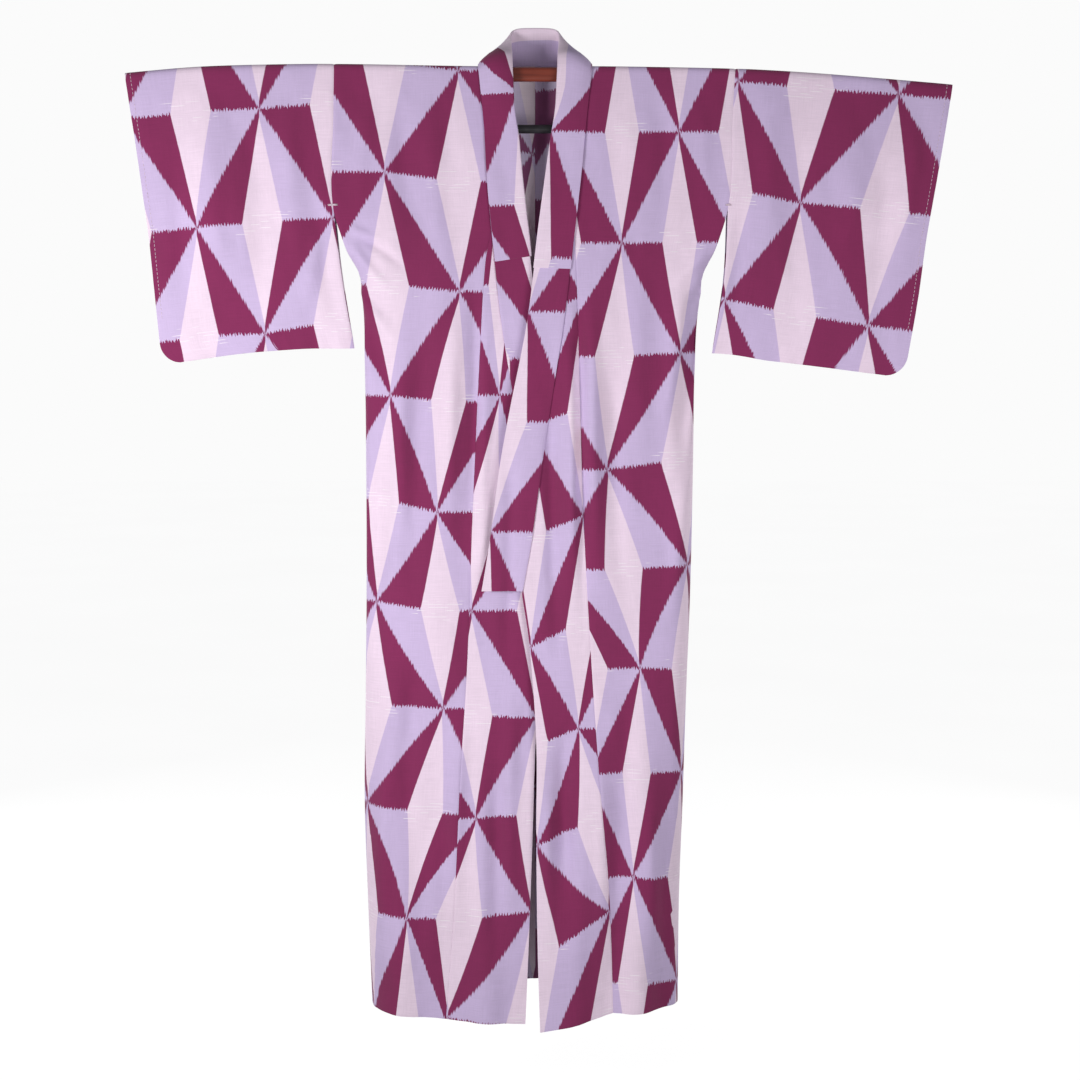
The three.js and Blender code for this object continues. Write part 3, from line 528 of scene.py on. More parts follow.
def crease_height(creases, x, z):
    """The height of a table's creases at x, z."""
    height = np.zeros_like(x)
    for x0, z0, x1, z1, bend, wide, tall in creases:
        reach = math.hypot(x1 - x0, z1 - z0)
        ux, uz = (x1 - x0) / reach, (z1 - z0) / reach
        along = ((x - x0) * ux + (z - z0) * uz) / reach
        away = (x - x0) * uz - (z - z0) * ux - bend * np.sin(np.pi * along.clip(0, 1))
        ends = smooth(along / CREASE_RISE) * smooth((1 - along) / CREASE_FADE)
        height += tall * ends * np.exp(-((away / wide) ** 2))
    return height


def relief(creases, seed, x, z):
    """The creases and the cloth's own small unevenness, which come in below the bar."""
    uneven = sum(
        tall * soft_noise(x + slant * z, z, wide, long, seed + k)
        for k, (tall, wide, long, slant) in enumerate(UNEVENNESS)
    )
    return (CREASE_DEPTH * crease_height(creases, x, z) + uneven) * smooth((RELIEF_FROM - z) / RELIEF_OVER)


def front_relief(x, z):
    return relief(FRONT_CREASES, 11, x, z)


def back_relief(x, z):
    return relief(BACK_CREASES, 31, x, z)


def relieved(grid, towards, hold=None):
    """Moves a grid's points forwards or backwards by the creases, less where the cloth turns to the side.
    hold, from 0 to 1, says how far the cloth is held to the one in front of it, and moves with that."""
    x, z = grid[..., 0], grid[..., 2]
    facing = smooth(towards * normals(grid)[..., 1] / FACING)
    shift = front_relief(x, z) * -1 if towards < 0 else back_relief(x, z)
    if hold is not None:
        shift = lerp(shift, -front_relief(x, z), hold)
    moved = grid.copy()
    moved[..., 1] += shift * facing
    return moved


def seamed(grid, along, distance, deep=0.8, pucker=0.3):
    """Draws a grid's points in beside a seam, with the small puckers that stitches leave."""
    out = normals(grid)
    groove, reach = 1.3, 9
    wave = soft_noise(along, distance * 0.3, 7, 14, 5)
    drawn = -deep * np.exp(-((distance / groove) ** 2)) + pucker * wave * np.exp(-distance / reach)
    return grid + out * drawn[..., None]


def pattern_at(panel, x, z):
    """The dyed pattern's column and row at places x, z of a panel."""
    columns = STARS[panel]
    lines, rows, numbers = [], [], []
    for number, first, stars in columns:
        xs, zs = np.array(stars, float)[::-1].T
        star_rows = (first + 2.0 * np.arange(len(zs)))[::-1]
        row = np.interp(z, zs, star_rows)
        row = np.where(z > zs[-1], star_rows[-1] - (z - zs[-1]) / ROW, row)
        row = np.where(z < zs[0], star_rows[0] + (zs[0] - z) / ROW, row)
        lines.append(np.interp(z, zs, xs))
        rows.append(row)
        numbers.append(number)
    column = numbers[0] + (x - lines[0]) / (lines[1] - lines[0])
    row = lerp(rows[0], rows[1], (column - numbers[0]).clip(0, 1))
    for k in range(1, len(lines) - 1):
        beyond = x > lines[k]
        next_column = numbers[k] + (x - lines[k]) / (lines[k + 1] - lines[k])
        column = np.where(beyond, next_column, column)
        row = np.where(beyond, lerp(rows[k], rows[k + 1], (next_column - numbers[k]).clip(0, 1)), row)
    return column, row


# ---------------------------------------------------------------- materials
def linear(*srgb):
    """A colour given as it looks on a screen, in the numbers that a shader takes."""
    return tuple((c / 255 / 12.92 if c < 11 else ((c / 255 + 0.055) / 1.055) ** 2.4) for c in srgb) + (1.0,)


class Graph:
    """A material's node tree, built by calls that give back a node or its output."""

    def __init__(self, name):
        self.material = bpy.data.materials.new(name)
        self.material.use_nodes = True
        self.tree = self.material.node_tree
        self.tree.nodes.clear()

    def node(self, kind, inputs=(), **settings):
        made = self.tree.nodes.new(kind)
        for key, value in settings.items():
            setattr(made, key, value)
        for name, value in dict(inputs).items():
            if isinstance(value, bpy.types.NodeSocket):
                self.tree.links.new(value, made.inputs[name])
            else:
                made.inputs[name].default_value = value
        return made

    def math(self, operation, *values):
        return self.node("ShaderNodeMath", dict(enumerate(values)), operation=operation).outputs[0]

    def plus(self, *values):
        return self.math("ADD", *values)

    def minus(self, *values):
        return self.math("SUBTRACT", *values)

    def times(self, *values):
        return self.math("MULTIPLY", *values)

    def over(self, *values):
        return self.math("DIVIDE", *values)

    def ramp(self, value, low, high, to_low=0.0, to_high=1.0):
        settings = {"Value": value, "From Min": low, "From Max": high, "To Min": to_low, "To Max": to_high}
        return self.node("ShaderNodeMapRange", settings, clamp=True).outputs[0]

    def mix(self, factor, first, second, blend="MIX"):
        made = self.tree.nodes.new("ShaderNodeMix")
        made.data_type = "RGBA"
        made.blend_type = blend
        for socket, value in ((made.inputs[0], factor), (made.inputs[6], first), (made.inputs[7], second)):
            if isinstance(value, bpy.types.NodeSocket):
                self.tree.links.new(value, socket)
            else:
                socket.default_value = value
        return made.outputs[2]

    def uv(self, name):
        place = self.node("ShaderNodeUVMap", uv_map=name).outputs[0]
        parts = self.node("ShaderNodeSeparateXYZ", {"Vector": place})
        return parts.outputs[0], parts.outputs[1]

    def at(self, x, y, z=0.0):
        return self.node("ShaderNodeCombineXYZ", {"X": x, "Y": y, "Z": z}).outputs[0]

    def noise(self, place, scale=1.0, detail=2.0):
        return self.node("ShaderNodeTexNoise", {"Vector": place, "Scale": scale, "Detail": detail}).outputs[0]

    def speckle(self, place):
        return self.node("ShaderNodeTexWhiteNoise", {"Vector": place}, noise_dimensions="3D").outputs[0]

    def grey(self, value):
        return self.node("ShaderNodeCombineColor", {"Red": value, "Green": value, "Blue": value}).outputs[0]

    def own_place(self):
        return self.node("ShaderNodeTexCoord").outputs["Object"]

    def bump(self, height, strength, distance=0.0002):
        inputs = {"Height": height, "Strength": strength, "Distance": distance}
        return self.node("ShaderNodeBump", inputs).outputs[0]

    def surface(self, inputs):
        shader = self.node("ShaderNodeBsdfPrincipled", inputs)
        self.node("ShaderNodeOutputMaterial", {"Surface": shader.outputs[0]})
        return self.material


DIAMOND = 0.322  # half-width of the pale diamonds, in columns
DIAMOND_ENDS = (0.019, 0.029)  # where they begin and where they are full, in columns inside that
EDGE_BLUR = 0.012  # half the softness of a dyed edge, in rows
# In metres on the cloth:
TOOTH = 0.0047  # from one tooth of a dyed edge to the next
TOOTH_REACH = (0.0014, 0.0040)
THREAD_WIDE = 0.0006  # a warp thread that strays on its own, and how far
THREAD_STRAY = 0.0012
SLUB_APART, SLUB_LONG = 0.0051, 0.022
SLUB_SHIFT = 7.31  # sets each line of slubs off from the next
WARP_APART, WEFT_APART = 0.0011, 0.0014
OUTSIDE = dict(maroon=(137, 43, 91), lavender=(211, 190, 228), pale=(244, 221, 240), slub=(252, 243, 250))
# The reverse face's colours are paler than the outside, as less dye reaches through. They are also lifted
# further as painted light, to stand in for the light that the inside of the robe lacks.
REVERSE_PAINTED_LIGHTER = dict(maroon=(152, 86, 128), lavender=(228, 214, 242), pale=(250, 234, 244), slub=(252, 242, 248))


def cotton(name, colours):
    """Plain-woven cotton, its warp threads dyed before weaving, so that the pattern's edges are combed."""
    g = Graph(name)
    column, row = g.uv("ikat")
    across, along = g.uv("cloth")

    # Bundles of warp threads stand a few millimetres higher or lower than their neighbours.
    bundle = g.noise(g.at(g.over(across, TOOTH), g.times(row, 0.7)), detail=1.0)
    thread = g.speckle(g.at(g.math("FLOOR", g.over(across, THREAD_WIDE)), 3.0))
    drift = g.plus(g.over(across, TOOTH), g.times(bundle, 1.6))
    teeth = g.ramp(g.math("PINGPONG", drift, 0.5), 0.0, 0.5, -1.0, 1.0)
    reach = g.ramp(g.noise(g.at(g.over(across, 0.008), row), detail=1.0), 0.3, 0.7, *TOOTH_REACH)
    comb = g.plus(g.times(teeth, reach), g.ramp(thread, 0, 1, -THREAD_STRAY, THREAD_STRAY))
    shifted = g.plus(row, g.over(comb, ROW * MM))
    calm = g.plus(row, g.over(comb, ROW * MM * 5))

    def cell(row_value):
        whole, part = g.math("FLOOR", row_value), g.math("FRACT", row_value)
        turned = g.math("FLOORED_MODULO", g.plus(g.math("FLOOR", column), whole), 2.0)
        in_column = g.math("FRACT", column)
        mirrored = g.minus(1.0, g.times(in_column, 2.0))
        return part, g.plus(in_column, g.times(turned, mirrored))

    part, x = cell(shifted)
    upper = g.ramp(g.minus(x, part), -EDGE_BLUR, EDGE_BLUR)
    dark_above = g.math("FLOORED_MODULO", g.math("FLOOR", column), 2.0)
    agree = g.plus(g.times(upper, dark_above),
                   g.times(g.minus(1.0, upper), g.minus(1.0, dark_above)))
    calm_part, calm_x = cell(calm)
    left = g.minus(g.times(calm_part, DIAMOND), calm_x)
    spare = g.times(g.minus(1.0, calm_part), DIAMOND)
    right = g.minus(calm_x, g.minus(1.0, spare))
    # The pale diamonds end a little short of the stars, where maroon and lavender cross.
    diamond = g.ramp(g.math("MAXIMUM", left, right), *DIAMOND_ENDS)

    # Thin raised weft threads lie in clusters over the widest part of each diamond.
    off_row = g.math("ABSOLUTE", g.minus(g.math("FRACT", g.plus(row, 0.5)), 0.5))
    from_column = g.math("ABSOLUTE", g.minus(g.math("FRACT", g.plus(column, 0.5)), 0.5))
    odd = g.math("FLOORED_MODULO", g.plus(g.math("ROUND", column), g.math("ROUND", row)), 2.0)
    odd = g.math("GREATER_THAN", odd, 0.5)
    near = g.times(g.ramp(off_row, 0.11, 0.09), g.ramp(from_column, 0.46, 0.36))
    line = g.math("FRACT", g.over(along, SLUB_APART))
    line_number = g.math("FLOOR", g.over(along, SLUB_APART))
    dash = g.noise(g.at(g.over(across, SLUB_LONG), g.times(line_number, SLUB_SHIFT)), detail=0.0)
    thin = g.ramp(g.math("ABSOLUTE", g.minus(line, 0.5)), 0.14, 0.06)
    slub = g.times(g.times(thin, g.ramp(dash, 0.52, 0.6)), g.times(near, odd))
    slub = g.times(slub, g.ramp(g.minus(agree, diamond), 0.0, 1.0, 1.0, 0.0))

    colour = g.mix(agree, linear(*colours["lavender"]), linear(*colours["maroon"]))
    colour = g.mix(diamond, colour, linear(*colours["pale"]))
    weft = g.noise(g.at(g.times(across, 30.0), g.times(along, 900.0)), detail=2.0)
    warp = g.noise(g.at(g.times(across, 1100.0), g.times(along, 26.0)), detail=2.0)
    cloud = g.noise(g.at(g.times(across, 9.0), g.times(along, 6.0)), detail=3.0)
    shade = g.times(g.ramp(weft, 0.3, 0.7, 0.945, 1.03), g.ramp(warp, 0.3, 0.7, 0.955, 1.025))
    shade = g.times(shade, g.ramp(cloud, 0.3, 0.7, 0.945, 1.02))
    colour = g.mix(1.0, colour, g.grey(shade), "MULTIPLY")
    colour = g.mix(g.times(slub, 0.8), colour, linear(*colours["slub"]))

    # A plain weave: warp and weft threads pass over each other in turn.
    warp_wave = g.math("SINE", g.times(across, 2 * math.pi / WARP_APART))
    weft_wave = g.math("SINE", g.times(along, 2 * math.pi / WEFT_APART))
    weave = g.plus(g.times(warp_wave, 0.5), g.times(weft_wave, 0.7))
    height = g.plus(weave, g.times(weft, 1.6))
    height = g.plus(height, g.times(slub, 2.5))
    bump = g.bump(height, 0.35, 0.00022)
    return g.surface({
        "Base Color": colour,
        "Roughness": g.ramp(cloud, 0.3, 0.7, 0.82, 0.9),
        "Specular IOR Level": 0.25,
        "Sheen Weight": 0.18,
        "Sheen Roughness": 0.5,
        "Normal": bump,
    })


def wood():
    """Orange-brown stained wood with a satin varnish."""
    g = Graph("hanger wood")
    place = g.own_place()
    stretched = g.node("ShaderNodeMapping", {"Vector": place, "Scale": (3.0, 60.0, 60.0)}).outputs[0]
    grain = g.noise(stretched, 3.0, 6.0)
    finely = g.node("ShaderNodeMapping", {"Vector": place, "Scale": (18.0, 900.0, 900.0)}).outputs[0]
    pores = g.noise(finely, 1.0, 2.0)
    colour = g.mix(g.ramp(grain, 0.35, 0.65), linear(112, 42, 28), linear(138, 56, 36))
    colour = g.mix(g.ramp(pores, 0.56, 0.7, 0.0, 0.6), colour, linear(84, 32, 20))
    bump = g.bump(pores, 0.3)
    return g.surface({
        "Base Color": colour, "Roughness": g.ramp(grain, 0.3, 0.7, 0.38, 0.5), "Coat Weight": 0.25,
        "Coat Roughness": 0.25, "Normal": bump,
    })


def black_lacquer():
    """Black stained bar with a worn satin finish."""
    g = Graph("hanger black")
    place = g.own_place()
    wear = g.noise(place, 60.0, 4.0)
    fine = g.noise(place, 700.0, 2.0)
    colour = g.mix(g.ramp(wear, 0.45, 0.7), linear(26, 24, 28), linear(44, 41, 46))
    bump = g.bump(fine, 0.2)
    return g.surface({
        "Base Color": colour, "Roughness": g.ramp(wear, 0.3, 0.7, 0.38, 0.55), "Normal": bump,
    })


def sewing_thread(name, srgb):
    """Twisted cotton thread."""
    g = Graph(name)
    place = g.own_place()
    twist = g.noise(place, 2500.0, 2.0)
    darker = tuple(c * 0.82 for c in srgb)
    colour = g.mix(g.ramp(twist, 0.35, 0.65), linear(*darker), linear(*srgb))
    bump = g.bump(twist, 0.3)
    return g.surface({
        "Base Color": colour, "Roughness": 0.8, "Sheen Weight": 0.2, "Normal": bump,
    })


COTTON = cotton("yukata cotton", OUTSIDE)
# The cloth's reverse face, its colours painted lighter to stand in for light inside the robe.
COTTON_REVERSE_PAINTED_LIGHTER = cotton("yukata cotton reverse, painted lighter", REVERSE_PAINTED_LIGHTER)
THREAD = sewing_thread("sewing thread", (236, 214, 228))


# ---------------------------------------------------------------- meshes
def placed(name, data):
    made = bpy.data.objects.new(name, data)
    bpy.context.scene.collection.objects.link(made)
    return made


def cloth_mesh(name, grid, pattern, flat, thick):
    """A sheet of cloth over a grid of points in millimetres. Its outer face is on the side that the grid's
    directions point to. pattern is the dyed pattern's column and row, and flat the place on the cut cloth."""
    rows, columns = grid.shape[:2]
    index = np.arange(rows * columns).reshape(rows, columns)
    corners = [index[:-1, :-1], index[1:, :-1], index[1:, 1:], index[:-1, 1:]]
    quads = np.stack(corners, -1).reshape(-1, 4)
    mesh = bpy.data.meshes.new(name)
    mesh.from_pydata((grid.reshape(-1, 3) * MM).tolist(), [], quads.tolist())
    for layer, values in (("cloth", [f * MM for f in flat]), ("ikat", pattern)):
        uv = np.stack([np.asarray(v, float).reshape(-1) for v in values], -1)
        loops = uv[quads.reshape(-1)]
        mesh.uv_layers.new(name=layer).data.foreach_set("uv", loops.astype(np.float32).reshape(-1))
    mesh.materials.append(COTTON)
    mesh.materials.append(COTTON_REVERSE_PAINTED_LIGHTER)
    piece = placed(name, mesh)
    shell = piece.modifiers.new("shell", "SOLIDIFY")
    shell.thickness = thick * MM
    shell.offset = 0
    # The inner shell takes the reverse cotton, whose colours are painted lighter to stand in for light inside
    # the robe.
    shell.material_offset = 1
    shell.material_offset_rim = 0
    apply_modifiers(piece)
    piece.data.polygons.foreach_set("use_smooth", [True] * len(piece.data.polygons))
    piece.data.set_sharp_from_angle(angle=math.radians(50))
    return piece


def apply_modifiers(piece):
    evaluated = piece.evaluated_get(bpy.context.evaluated_depsgraph_get())
    mesh = bpy.data.meshes.new_from_object(evaluated)
    piece.modifiers.clear()
    old = piece.data
    piece.data = mesh
    bpy.data.meshes.remove(old)
    mesh.name = piece.name


def threads(name, lines):
    """Short lengths of sewing thread, each swept along its own line of points."""
    sides = 6
    around = np.radians(np.arange(sides) * 360 / sides)
    verts, faces = [], []
    for line in lines:
        ahead = np.gradient(line, axis=0)
        ahead /= np.linalg.norm(ahead, axis=-1, keepdims=True)
        beside = np.cross(ahead, (0.31, 0.23, 0.92))  # a direction that no thread runs in
        beside /= np.linalg.norm(beside, axis=-1, keepdims=True)
        over = np.cross(ahead, beside)
        ring = beside[:, None] * np.cos(around)[None, :, None] + over[:, None] * np.sin(around)[None, :, None]
        taper = np.where(np.arange(len(line)) % (len(line) - 1) == 0, 0.55, 1.0)[:, None, None]
        first = len(verts)
        verts.extend((line[:, None] + ring * THREAD_RADIUS * taper).reshape(-1, 3).tolist())
        for k in range(len(line) - 1):
            a, b = first + sides * k, first + sides * (k + 1)
            faces.extend((a + i, a + (i + 1) % sides, b + (i + 1) % sides, b + i) for i in range(sides))
        last = first + sides * (len(line) - 1)
        faces.append(tuple(first + i for i in reversed(range(sides))))
        faces.append(tuple(last + i for i in range(sides)))
    mesh = bpy.data.meshes.new(name)
    mesh.from_pydata([[c * MM for c in v] for v in verts], [], faces)
    mesh.materials.append(THREAD)
    piece = placed(name, mesh)
    piece.data.polygons.foreach_set("use_smooth", [True] * len(faces))
    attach(piece, "root")
    return name


def line_where(grid, values, at):
    """For each row of a grid, the point where its values come to a number."""
    turned = values[0, 0] > values[0, -1]
    if turned:
        grid, values = grid[:, ::-1], values[:, ::-1]
    return np.array([[np.interp(at, v, g[:, c]) for c in range(3)] for g, v in zip(grid, values)])


def stitches(name, grid, values, at, seed, inset=3.0):
    """A hem's running stitches, on the outer face of the cloth."""
    line, out = line_where(grid, values, at), line_where(normals(grid), values, at)
    along = running(np.linalg.norm(np.diff(line, axis=0), axis=-1))
    chance = np.random.default_rng(seed)
    lines = []
    for start in np.arange(inset, along[-1] - inset - STITCH, STITCH):
        start += chance.uniform(-0.4, 0.4)
        stations = start + STITCH * chance.uniform(0.7, 0.82) * np.linspace(0, 1, 5)
        raised = SHELL / 2 + STITCH_RISE
        centre = np.stack([np.interp(stations, along, line[:, c]) for c in range(3)], -1)
        up = np.stack([np.interp(stations, along, out[:, c]) for c in range(3)], -1)
        lines.append(centre + up * raised[:, None])
    return threads(name, lines)


def tack(side, reach):
    """A bar tack of a few threads across the lower end of a sleeve's seam."""
    at = SLEEVE_JOIN - 3.0
    seam = front_row(side, np.array([1.0]), at)[0]
    chance = np.random.default_rng(19)
    lines = []
    for k in range(TACK_THREADS):
        across = np.linspace(-reach, reach, 5) + chance.uniform(-0.6, 0.6)
        line = np.repeat(seam[None], 5, 0)
        line[:, 0] += across
        line[:, 1] -= SHELL / 2 + TACK_RISE
        line[:, 2] += TACK_APART * k + 0.04 * across
        lines.append(line)
    return threads("tack_" + side, lines)


def carry(piece, node):
    """Puts a cloth piece in the place of its node: hangs it on the root body and hides the node."""
    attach(piece, "root")
    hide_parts(node)


def put_together(rows_of, side, towards, *fields):
    """A grid, its fields turned the same way."""
    flip = (side == "right") == (towards < 0)
    turn = (lambda a: a[:, ::-1]) if flip else (lambda a: a)
    return [turn(np.asarray(f)) for f in (rows_of, *fields)]


def hem_stitches(name, grid, down, seed):
    return stitches(name + "_stitches", grid.swapaxes(0, 1), down.T, BODY_LENGTH - HEM, seed)


# ---------------------------------------------------------------- the cut pieces
def front(side):
    name = "front_" + side
    v = spaced(0, BODY_LENGTH)
    u = spaced(0, FRONT_WIDTH)
    part = u / FRONT_WIDTH
    grid = np.stack([front_row(side, part, at) for at in v])
    across, down = np.meshgrid(u, v)
    # Where the cloth turns to the side the pattern goes on round it.
    x_steps, y_steps = SIDES[side] * np.diff(grid[..., 0], axis=1), np.diff(grid[..., 1], axis=1)
    steps = np.where(np.abs(y_steps) > np.abs(x_steps), np.hypot(x_steps, y_steps), x_steps)
    laid_out = grid[:, :1, 0] + SIDES[side] * running(steps)
    pattern = pattern_at(name, laid_out, np.repeat(height_at(v)[:, None], len(u), 1))
    grid, across, down, column, row = put_together(grid, side, -1, across, down, *pattern)
    grid = relieved(grid, -1)
    grid = seamed(grid, down, across, deep=0.45)
    grid = seamed(grid, down, FRONT_WIDTH - across)
    grid = seamed(grid, across, BODY_LENGTH - down, deep=0.3, pucker=0.6)
    piece = cloth_mesh(name + "_cloth", grid, (column, row), (across, down), SHELL)
    sewn = [hem_stitches(name, grid, down, 21 + SIDES[side]), tack(side, TACK[side])]
    carry(piece, name)


def overlap(side):
    name = "overlap_" + side
    v = spaced(OVERLAP_TIP, BODY_LENGTH)
    v[0] += 0.5
    part = spaced(0, 1, 1 / 30, (0.008, 0.02))
    grid = np.stack([overlap_row(side, part, at) for at in v])
    down = np.repeat(v[:, None], len(part), 1)
    across = np.abs(grid[..., 0] - grid[:, -1:, 0])
    pattern = pattern_at(name, grid[..., 0], height_at(down))
    width = across[:, :1]
    grid, across, down, column, row = put_together(grid, side, -1, across, down, *pattern)
    grid = relieved(grid, -1)
    grid = seamed(grid, down, across)
    grid = seamed(grid, down, width - across, deep=0.3)
    grid = seamed(grid, across, BODY_LENGTH - down, deep=0.3, pucker=0.6)
    piece = cloth_mesh(name + "_cloth", grid, (column, row), (across, down), SHELL)
    sewn = [hem_stitches(name, grid, down, 31 + SIDES[side])]
    carry(piece, name)


def back(side):
    name = "back_" + side
    v = spaced(0, BODY_LENGTH)
    top = float(read(BODY, "z", side, 12))
    part = spaced(0, top) / top
    grid = np.stack([back_row(side, part, at) for at in v])
    steps = np.linalg.norm(np.diff(grid, axis=1), axis=-1)
    across = running(steps)
    down = np.repeat(v[:, None], len(part), 1)
    pattern = pattern_at(name, SIDES[side] * across, height_at(-down))
    width = across[:, -1:]
    grid, across, down, column, row = put_together(grid, side, 1, across, down, *pattern)
    grid = relieved(grid, 1)
    grid = seamed(grid, down, across)
    grid = seamed(grid, down, width - across)
    grid = seamed(grid, across, BODY_LENGTH - down, deep=0.3, pucker=0.6)
    piece = cloth_mesh(name + "_cloth", grid, (column, row), (across, down), SHELL)
    sewn = [hem_stitches(name, grid, down, 41 + SIDES[side])]
    carry(piece, name)


def sleeve(side, towards):
    layer = "front" if towards < 0 else "back"
    name = "sleeve_%s_%s" % (layer, side)
    longest = SLEEVE_LENGTH[side][1]
    wide = float(read(CUFF[side], "v", "x", SLEEVE_JOIN)) - SLEEVE_INNER
    round_corner = longest - np.array([SLEEVE_CORNER, 25, 18, 12, 7, 4])
    v = np.unique(np.concatenate([spaced(0, longest), round_corner]))
    part = spaced(0, wide) / wide
    grid = np.stack([sleeve_row(side, towards, part, at) for at in v])
    down = np.repeat(v[:, None], len(part), 1)
    across = np.repeat(part[None] * wide, len(v), 0)
    pattern = pattern_at("sleeve_" + side, grid[..., 0], height_at(down if towards < 0 else -down))
    # Near the closed cuff and lower edge the two layers lie together and crease as one.
    length = lerp(*SLEEVE_LENGTH[side], part)[None]
    apart = smooth((length - down) / 90) * smooth(np.maximum(1 - part[None], 1 - down / SLEEVE_JOIN) * 4)
    hold = 1 - apart if towards > 0 else np.zeros_like(apart)
    grid, across, down, column, row, hold, below = put_together(
        grid, side, towards, across, down, *pattern, hold, (length - down).clip(0)
    )
    grid = relieved(grid, towards, hold)
    grid = seamed(grid, down, across)
    grid = seamed(grid, down, wide - across, deep=0.2)
    grid = seamed(grid, across, below, deep=0.2)
    piece = cloth_mesh(name + "_cloth", grid, (column, row), (across, down), SHELL)
    open_cuff = v < longest - 2 * SLEEVE_CORNER
    at_cuff = grid[open_cuff], across[open_cuff]
    sewn = [stitches(name + "_stitches", *at_cuff, wide - CUFF_HEM, 51 + SIDES[side])]
    carry(piece, name)


# ---------------------------------------------------------------- collars
def band_stations(lowest):
    """The collar's sewn and free edge at each station, from the left tip round the neck to the right tip:
    its points, and how far it rolls."""

    def neck(side):
        x = np.linspace(0, NECK_BAND["seam_x"][-1], 22)
        rise = lerp(FOLD_TOP, NECK["rise"], smooth((NECK["half_width"] - x) / NECK["half_width"]))
        seam = points_at(side, x, neck_bulge(x, 0), rise + BAND_STAND)
        free = [read(NECK_BAND, "seam_x", c, x) for c in ("free_x", "free_y", "free_z")]
        free = points_at(side, *free)
        return seam, free, read(NECK_BAND, "seam_x", "roll", x)

    def front_half(side):
        v = np.unique(np.concatenate([[0, 3.8, 7.5, FOLD_ARC], np.arange(16, lowest, CELL), [lowest]]))
        seams, frees, rolls = [], [], []
        for at in v:
            z = height_at(at)
            seam_x = np.array([float(read(COLLAR_SEAM, "z", side, z))])
            width = float(read(BAND_WIDTH, "z", "across", z))
            seam = over_bar(on_front(side, seam_x, at), at, -1)[0]
            seam[1] -= BAND_STAND * smooth(at / FOLD_ARC)
            seam[2] += BAND_STAND * (1 - smooth(at / FOLD_ARC))
            free = on_front(side, seam_x - width, at)[0]
            free[1] -= BAND_STAND
            held = [float(read(SHOULDER_BAND, "v", c, at)) for c in ("x", "y", "rise", "roll")]
            above = np.array([SIDES[side] * held[0], held[1], seam[2] + held[2]])
            settled = smooth((at - BAND_SETTLES[0]) / (BAND_SETTLES[1] - BAND_SETTLES[0]))
            seams.append(seam)
            frees.append(lerp(above, free, settled))
            rolls.append(held[3])
        return np.array(seams), np.array(frees), np.array(rolls)

    halves = {}
    for side in SIDES:
        parts = [np.concatenate(pair) for pair in zip(neck(side), front_half(side))]
        halves[side] = parts
    left = [a[::-1] for a in halves["left"]]
    return [np.concatenate([a, b[1:]]) for a, b in zip(left, halves["right"])]


def band_grid(lowest, columns):
    seam, free, roll = band_stations(lowest)
    part = columns[None, :, None]
    flat = lerp(seam[:, None], free[:, None], part)
    rolled = roll[:, None, None] * 4 * part * (1 - part)
    grid = flat + normals(flat) * rolled
    along = running(np.linalg.norm(np.diff(seam, axis=0), axis=-1))
    width = np.linalg.norm(free - seam, axis=-1)
    return grid, along, width


def band_pattern(rules, along, from_free, neck):
    """The pattern's column and row. along counts down the left front from the shoulder fold, and below nought
    it counts round the neck, neck long, and down the right front."""
    places, rows = np.array(rules["rows"], float).T
    places = np.where(places < 0, places - neck, places)
    if "neck" in rules:
        turn = int(np.searchsorted(places, rules["neck"][0] - neck))
        places = np.insert(places, turn, rules["neck"][0] - neck)
        rows = np.insert(rows, turn, rules["neck"][1])
    row = np.interp(along, places, rows)
    row = np.where(along > places[-1], rows[-1] + (along - places[-1]) / ROW, row)
    row = np.where(along < places[0], rows[0] + (along - places[0]) / ROW, row)
    (right_place, right_inset), (left_place, left_inset) = rules["inset"]
    inset = np.interp(along, [right_place - neck, left_place], [right_inset, left_inset])
    return (from_free - inset) / rules["column"], row


def collar_relief(grid, along):
    """The collar takes the creases of the fronts that it lies on, and has slight ones of its own."""
    grid = grid.copy()
    x, z = grid[..., 0], grid[..., 2]
    grid[..., 1] -= front_relief(x, z) * smooth((-60 - z) / 80)
    own = 0.5 * soft_noise(x * 0.4, along[:, None] * np.ones_like(x), 20, 44, 71)
    return grid + normals(grid) * own[..., None]


def collar():
    columns = spaced(0, 60, 4.0, (0.8, 2.0)) / 60
    grid, along, width = band_grid(COLLAR_TIP, columns)
    total = along[-1]
    signed = COLLAR_TIP - along
    from_free = (1 - columns)[None] * width[:, None]
    s = np.repeat(signed[:, None], len(columns), 1)
    pattern = band_pattern(BAND_PATTERN, s, from_free, total - 2 * COLLAR_TIP)
    grid = collar_relief(grid, along)
    grid = seamed(grid, s, width[:, None] - from_free, deep=0.5, pucker=0.35)
    piece = cloth_mesh("collar_cloth", grid, pattern, (from_free, s), BAND)
    carry(piece, "collar")


